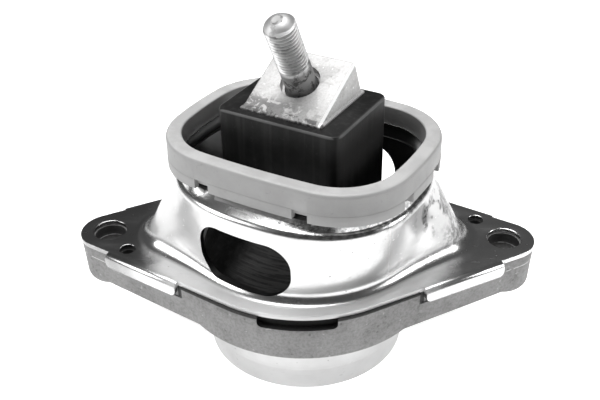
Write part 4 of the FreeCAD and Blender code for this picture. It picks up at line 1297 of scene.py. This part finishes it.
class CadCopies:
    """Pieces that keep the CAD form, most with softened edges.

    Args:
        specs: one for each piece.
    """

    def __init__(self, specs: Sequence[CopySpec]) -> None:
        self.specs = specs

    def build(self, materials: dict[str, bpy.types.Material]) -> None:
        """Builds the pieces and hands them to the frame."""
        for spec in self.specs:
            piece = merged_copy(spec.node, spec.node + "_skin", spec.smooth)
            if spec.width > 0.0:
                soften(piece, spec.width, spec.angle, spec.smooth)
            settle_in(piece, spec.node, spec.slot, materials)


class InnerParts:
    """CAD nodes shown as they are, each with its own finish."""
    SLOTS = {"bonded_ring": "inner_steel", "upper_channel_plate": "plate_alloy",
             "lower_channel_plate": "plate_alloy", "decoupler_disc": "inner_rubber",
             "diaphragm": "inner_rubber"}

    def build(self, materials: dict[str, bpy.types.Material]) -> None:
        """Puts the finishes in the nodes' slots."""
        for node, slot in self.SLOTS.items():
            dress(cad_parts[node], materials[slot])
            LOG.info("node %s dressed as %s", node, slot)


# ---- studio -----------------------------------------------------------------------------
@dataclass(frozen=True)
class CameraSizes:
    """Fitted camera: degrees, millimetres."""
    azimuth: float = -3.71
    elevation: float = 32.53
    roll: float = -0.92
    spot: tuple[float, float, float] = (19.4, -299.9, 255.2)
    lens: float = 53.97
    shift_x: float = -0.007


@dataclass(frozen=True)
class Lamp:
    """One soft lamp: place and aim in millimetres, size in millimetres, watts."""
    name: str
    spot: tuple[float, float, float]
    size: float
    power: float


class Studio:
    """Camera, pale floor, and soft lights.

    Args:
        camera: fitted camera.
        lamps: soft lamps.
    """

    AIM = (0.0, 0.0, 60.0)
    FLOOR_HALF, FLOOR_Z, FLOOR_GLOW = 3000.0, -0.02, 0.72
    ROOM_LIGHT = 0.08
    SENSOR = 36.0

    def __init__(self, camera: CameraSizes, lamps: Sequence[Lamp]) -> None:
        self.camera = camera
        self.lamps = lamps

    def place_camera(self) -> None:
        """Makes the scene's camera."""
        c = self.camera
        az, el, roll = radians(c.azimuth), radians(c.elevation), radians(c.roll)
        ahead = Vector((sin(az) * cos(el), cos(az) * cos(el), -sin(el)))
        side = Vector((cos(az), -sin(az), 0.0))
        above = side.cross(ahead)
        right = side * cos(roll) + above * sin(roll)
        up = above * cos(roll) - side * sin(roll)
        data = bpy.data.cameras.new("camera")
        data.lens, data.sensor_width, data.shift_x = c.lens, self.SENSOR, c.shift_x
        made = put("camera", data)
        turn = Matrix((right, up, -ahead)).transposed().to_4x4()
        made.matrix_world = Matrix.Translation(Vector(c.spot) * MM) @ turn
        bpy.context.scene.camera = made

    def place_lamps(self) -> None:
        """Makes the soft lamps, all aimed at the mount."""
        for lamp in self.lamps:
            data = bpy.data.lights.new(lamp.name, "AREA")
            data.shape, data.size, data.energy = "DISK", lamp.size * MM, lamp.power
            made = put(lamp.name, data)
            spot = Vector(lamp.spot) * MM
            aim = Vector(self.AIM) * MM - spot
            made.matrix_world = Matrix.Translation(spot) @ aim.to_track_quat("-Z", "Y").to_matrix().to_4x4()

    def place_floor(self) -> None:
        """Makes the pale floor."""
        draft = Draft()
        half, z = self.FLOOR_HALF, self.FLOOR_Z
        draft.cap(draft.row([(-half, -half, z), (half, -half, z), (half, half, z), (-half, half, z)]))
        floor = draft.build("floor")
        g = Graph("pale_floor")
        haze = g.noise(g.place(), 3.0)
        colour = g.blend(haze, grey(0.93), grey(0.95))
        dress(floor, g.finish({"Base Color": colour, "Roughness": 0.9, "Emission Color": grey(1.0),
                               "Emission Strength": self.FLOOR_GLOW}))

    def place_world(self) -> None:
        """Makes the even white surroundings."""
        world = bpy.data.worlds.new("white_room")
        world.use_nodes = True
        world.node_tree.nodes["Background"].inputs[0].default_value = (1.0, 1.0, 1.0, 1.0)
        world.node_tree.nodes["Background"].inputs[1].default_value = self.ROOM_LIGHT
        bpy.context.scene.world = world
        bpy.context.scene.view_settings.view_transform = "Standard"

    def build(self) -> None:
        """Makes everything round the mount."""
        self.place_camera()
        self.place_lamps()
        self.place_floor()
        self.place_world()
        LOG.info("studio ready")


def main() -> None:
    logging.basicConfig(level=logging.INFO, format="%(message)s")
    materials = {finish.name: finish.value.build() for finish in Finish}
    ring = RingOutline()
    Housing(HousingSizes(), ring).build(materials)
    Stud(StudSizes()).build(materials)
    Cup(CupSizes()).build(materials)
    CadCopies([
        CopySpec("core_wedge", "core", 0.25, 30.0, 25.0),
        CopySpec("rubber_spring", "rubber", 0.0, 40.0, 30.0),
        CopySpec("stop_ring", "ring_plastic", 0.12, 50.0, 35.0),
        CopySpec("cast_base", "cast_alloy", 0.25, 40.0, 30.0),
    ]).build(materials)
    InnerParts().build(materials)
    Studio(CameraSizes(), [
        Lamp("top", (-40.0, 40.0, 680.0), 520.0, 4.4),
        Lamp("left", (-540.0, -160.0, 330.0), 360.0, 1.3),
        Lamp("right", (600.0, -60.0, 280.0), 280.0, 1.2),
    ]).build()


if __name__ == "__main__":
    main()
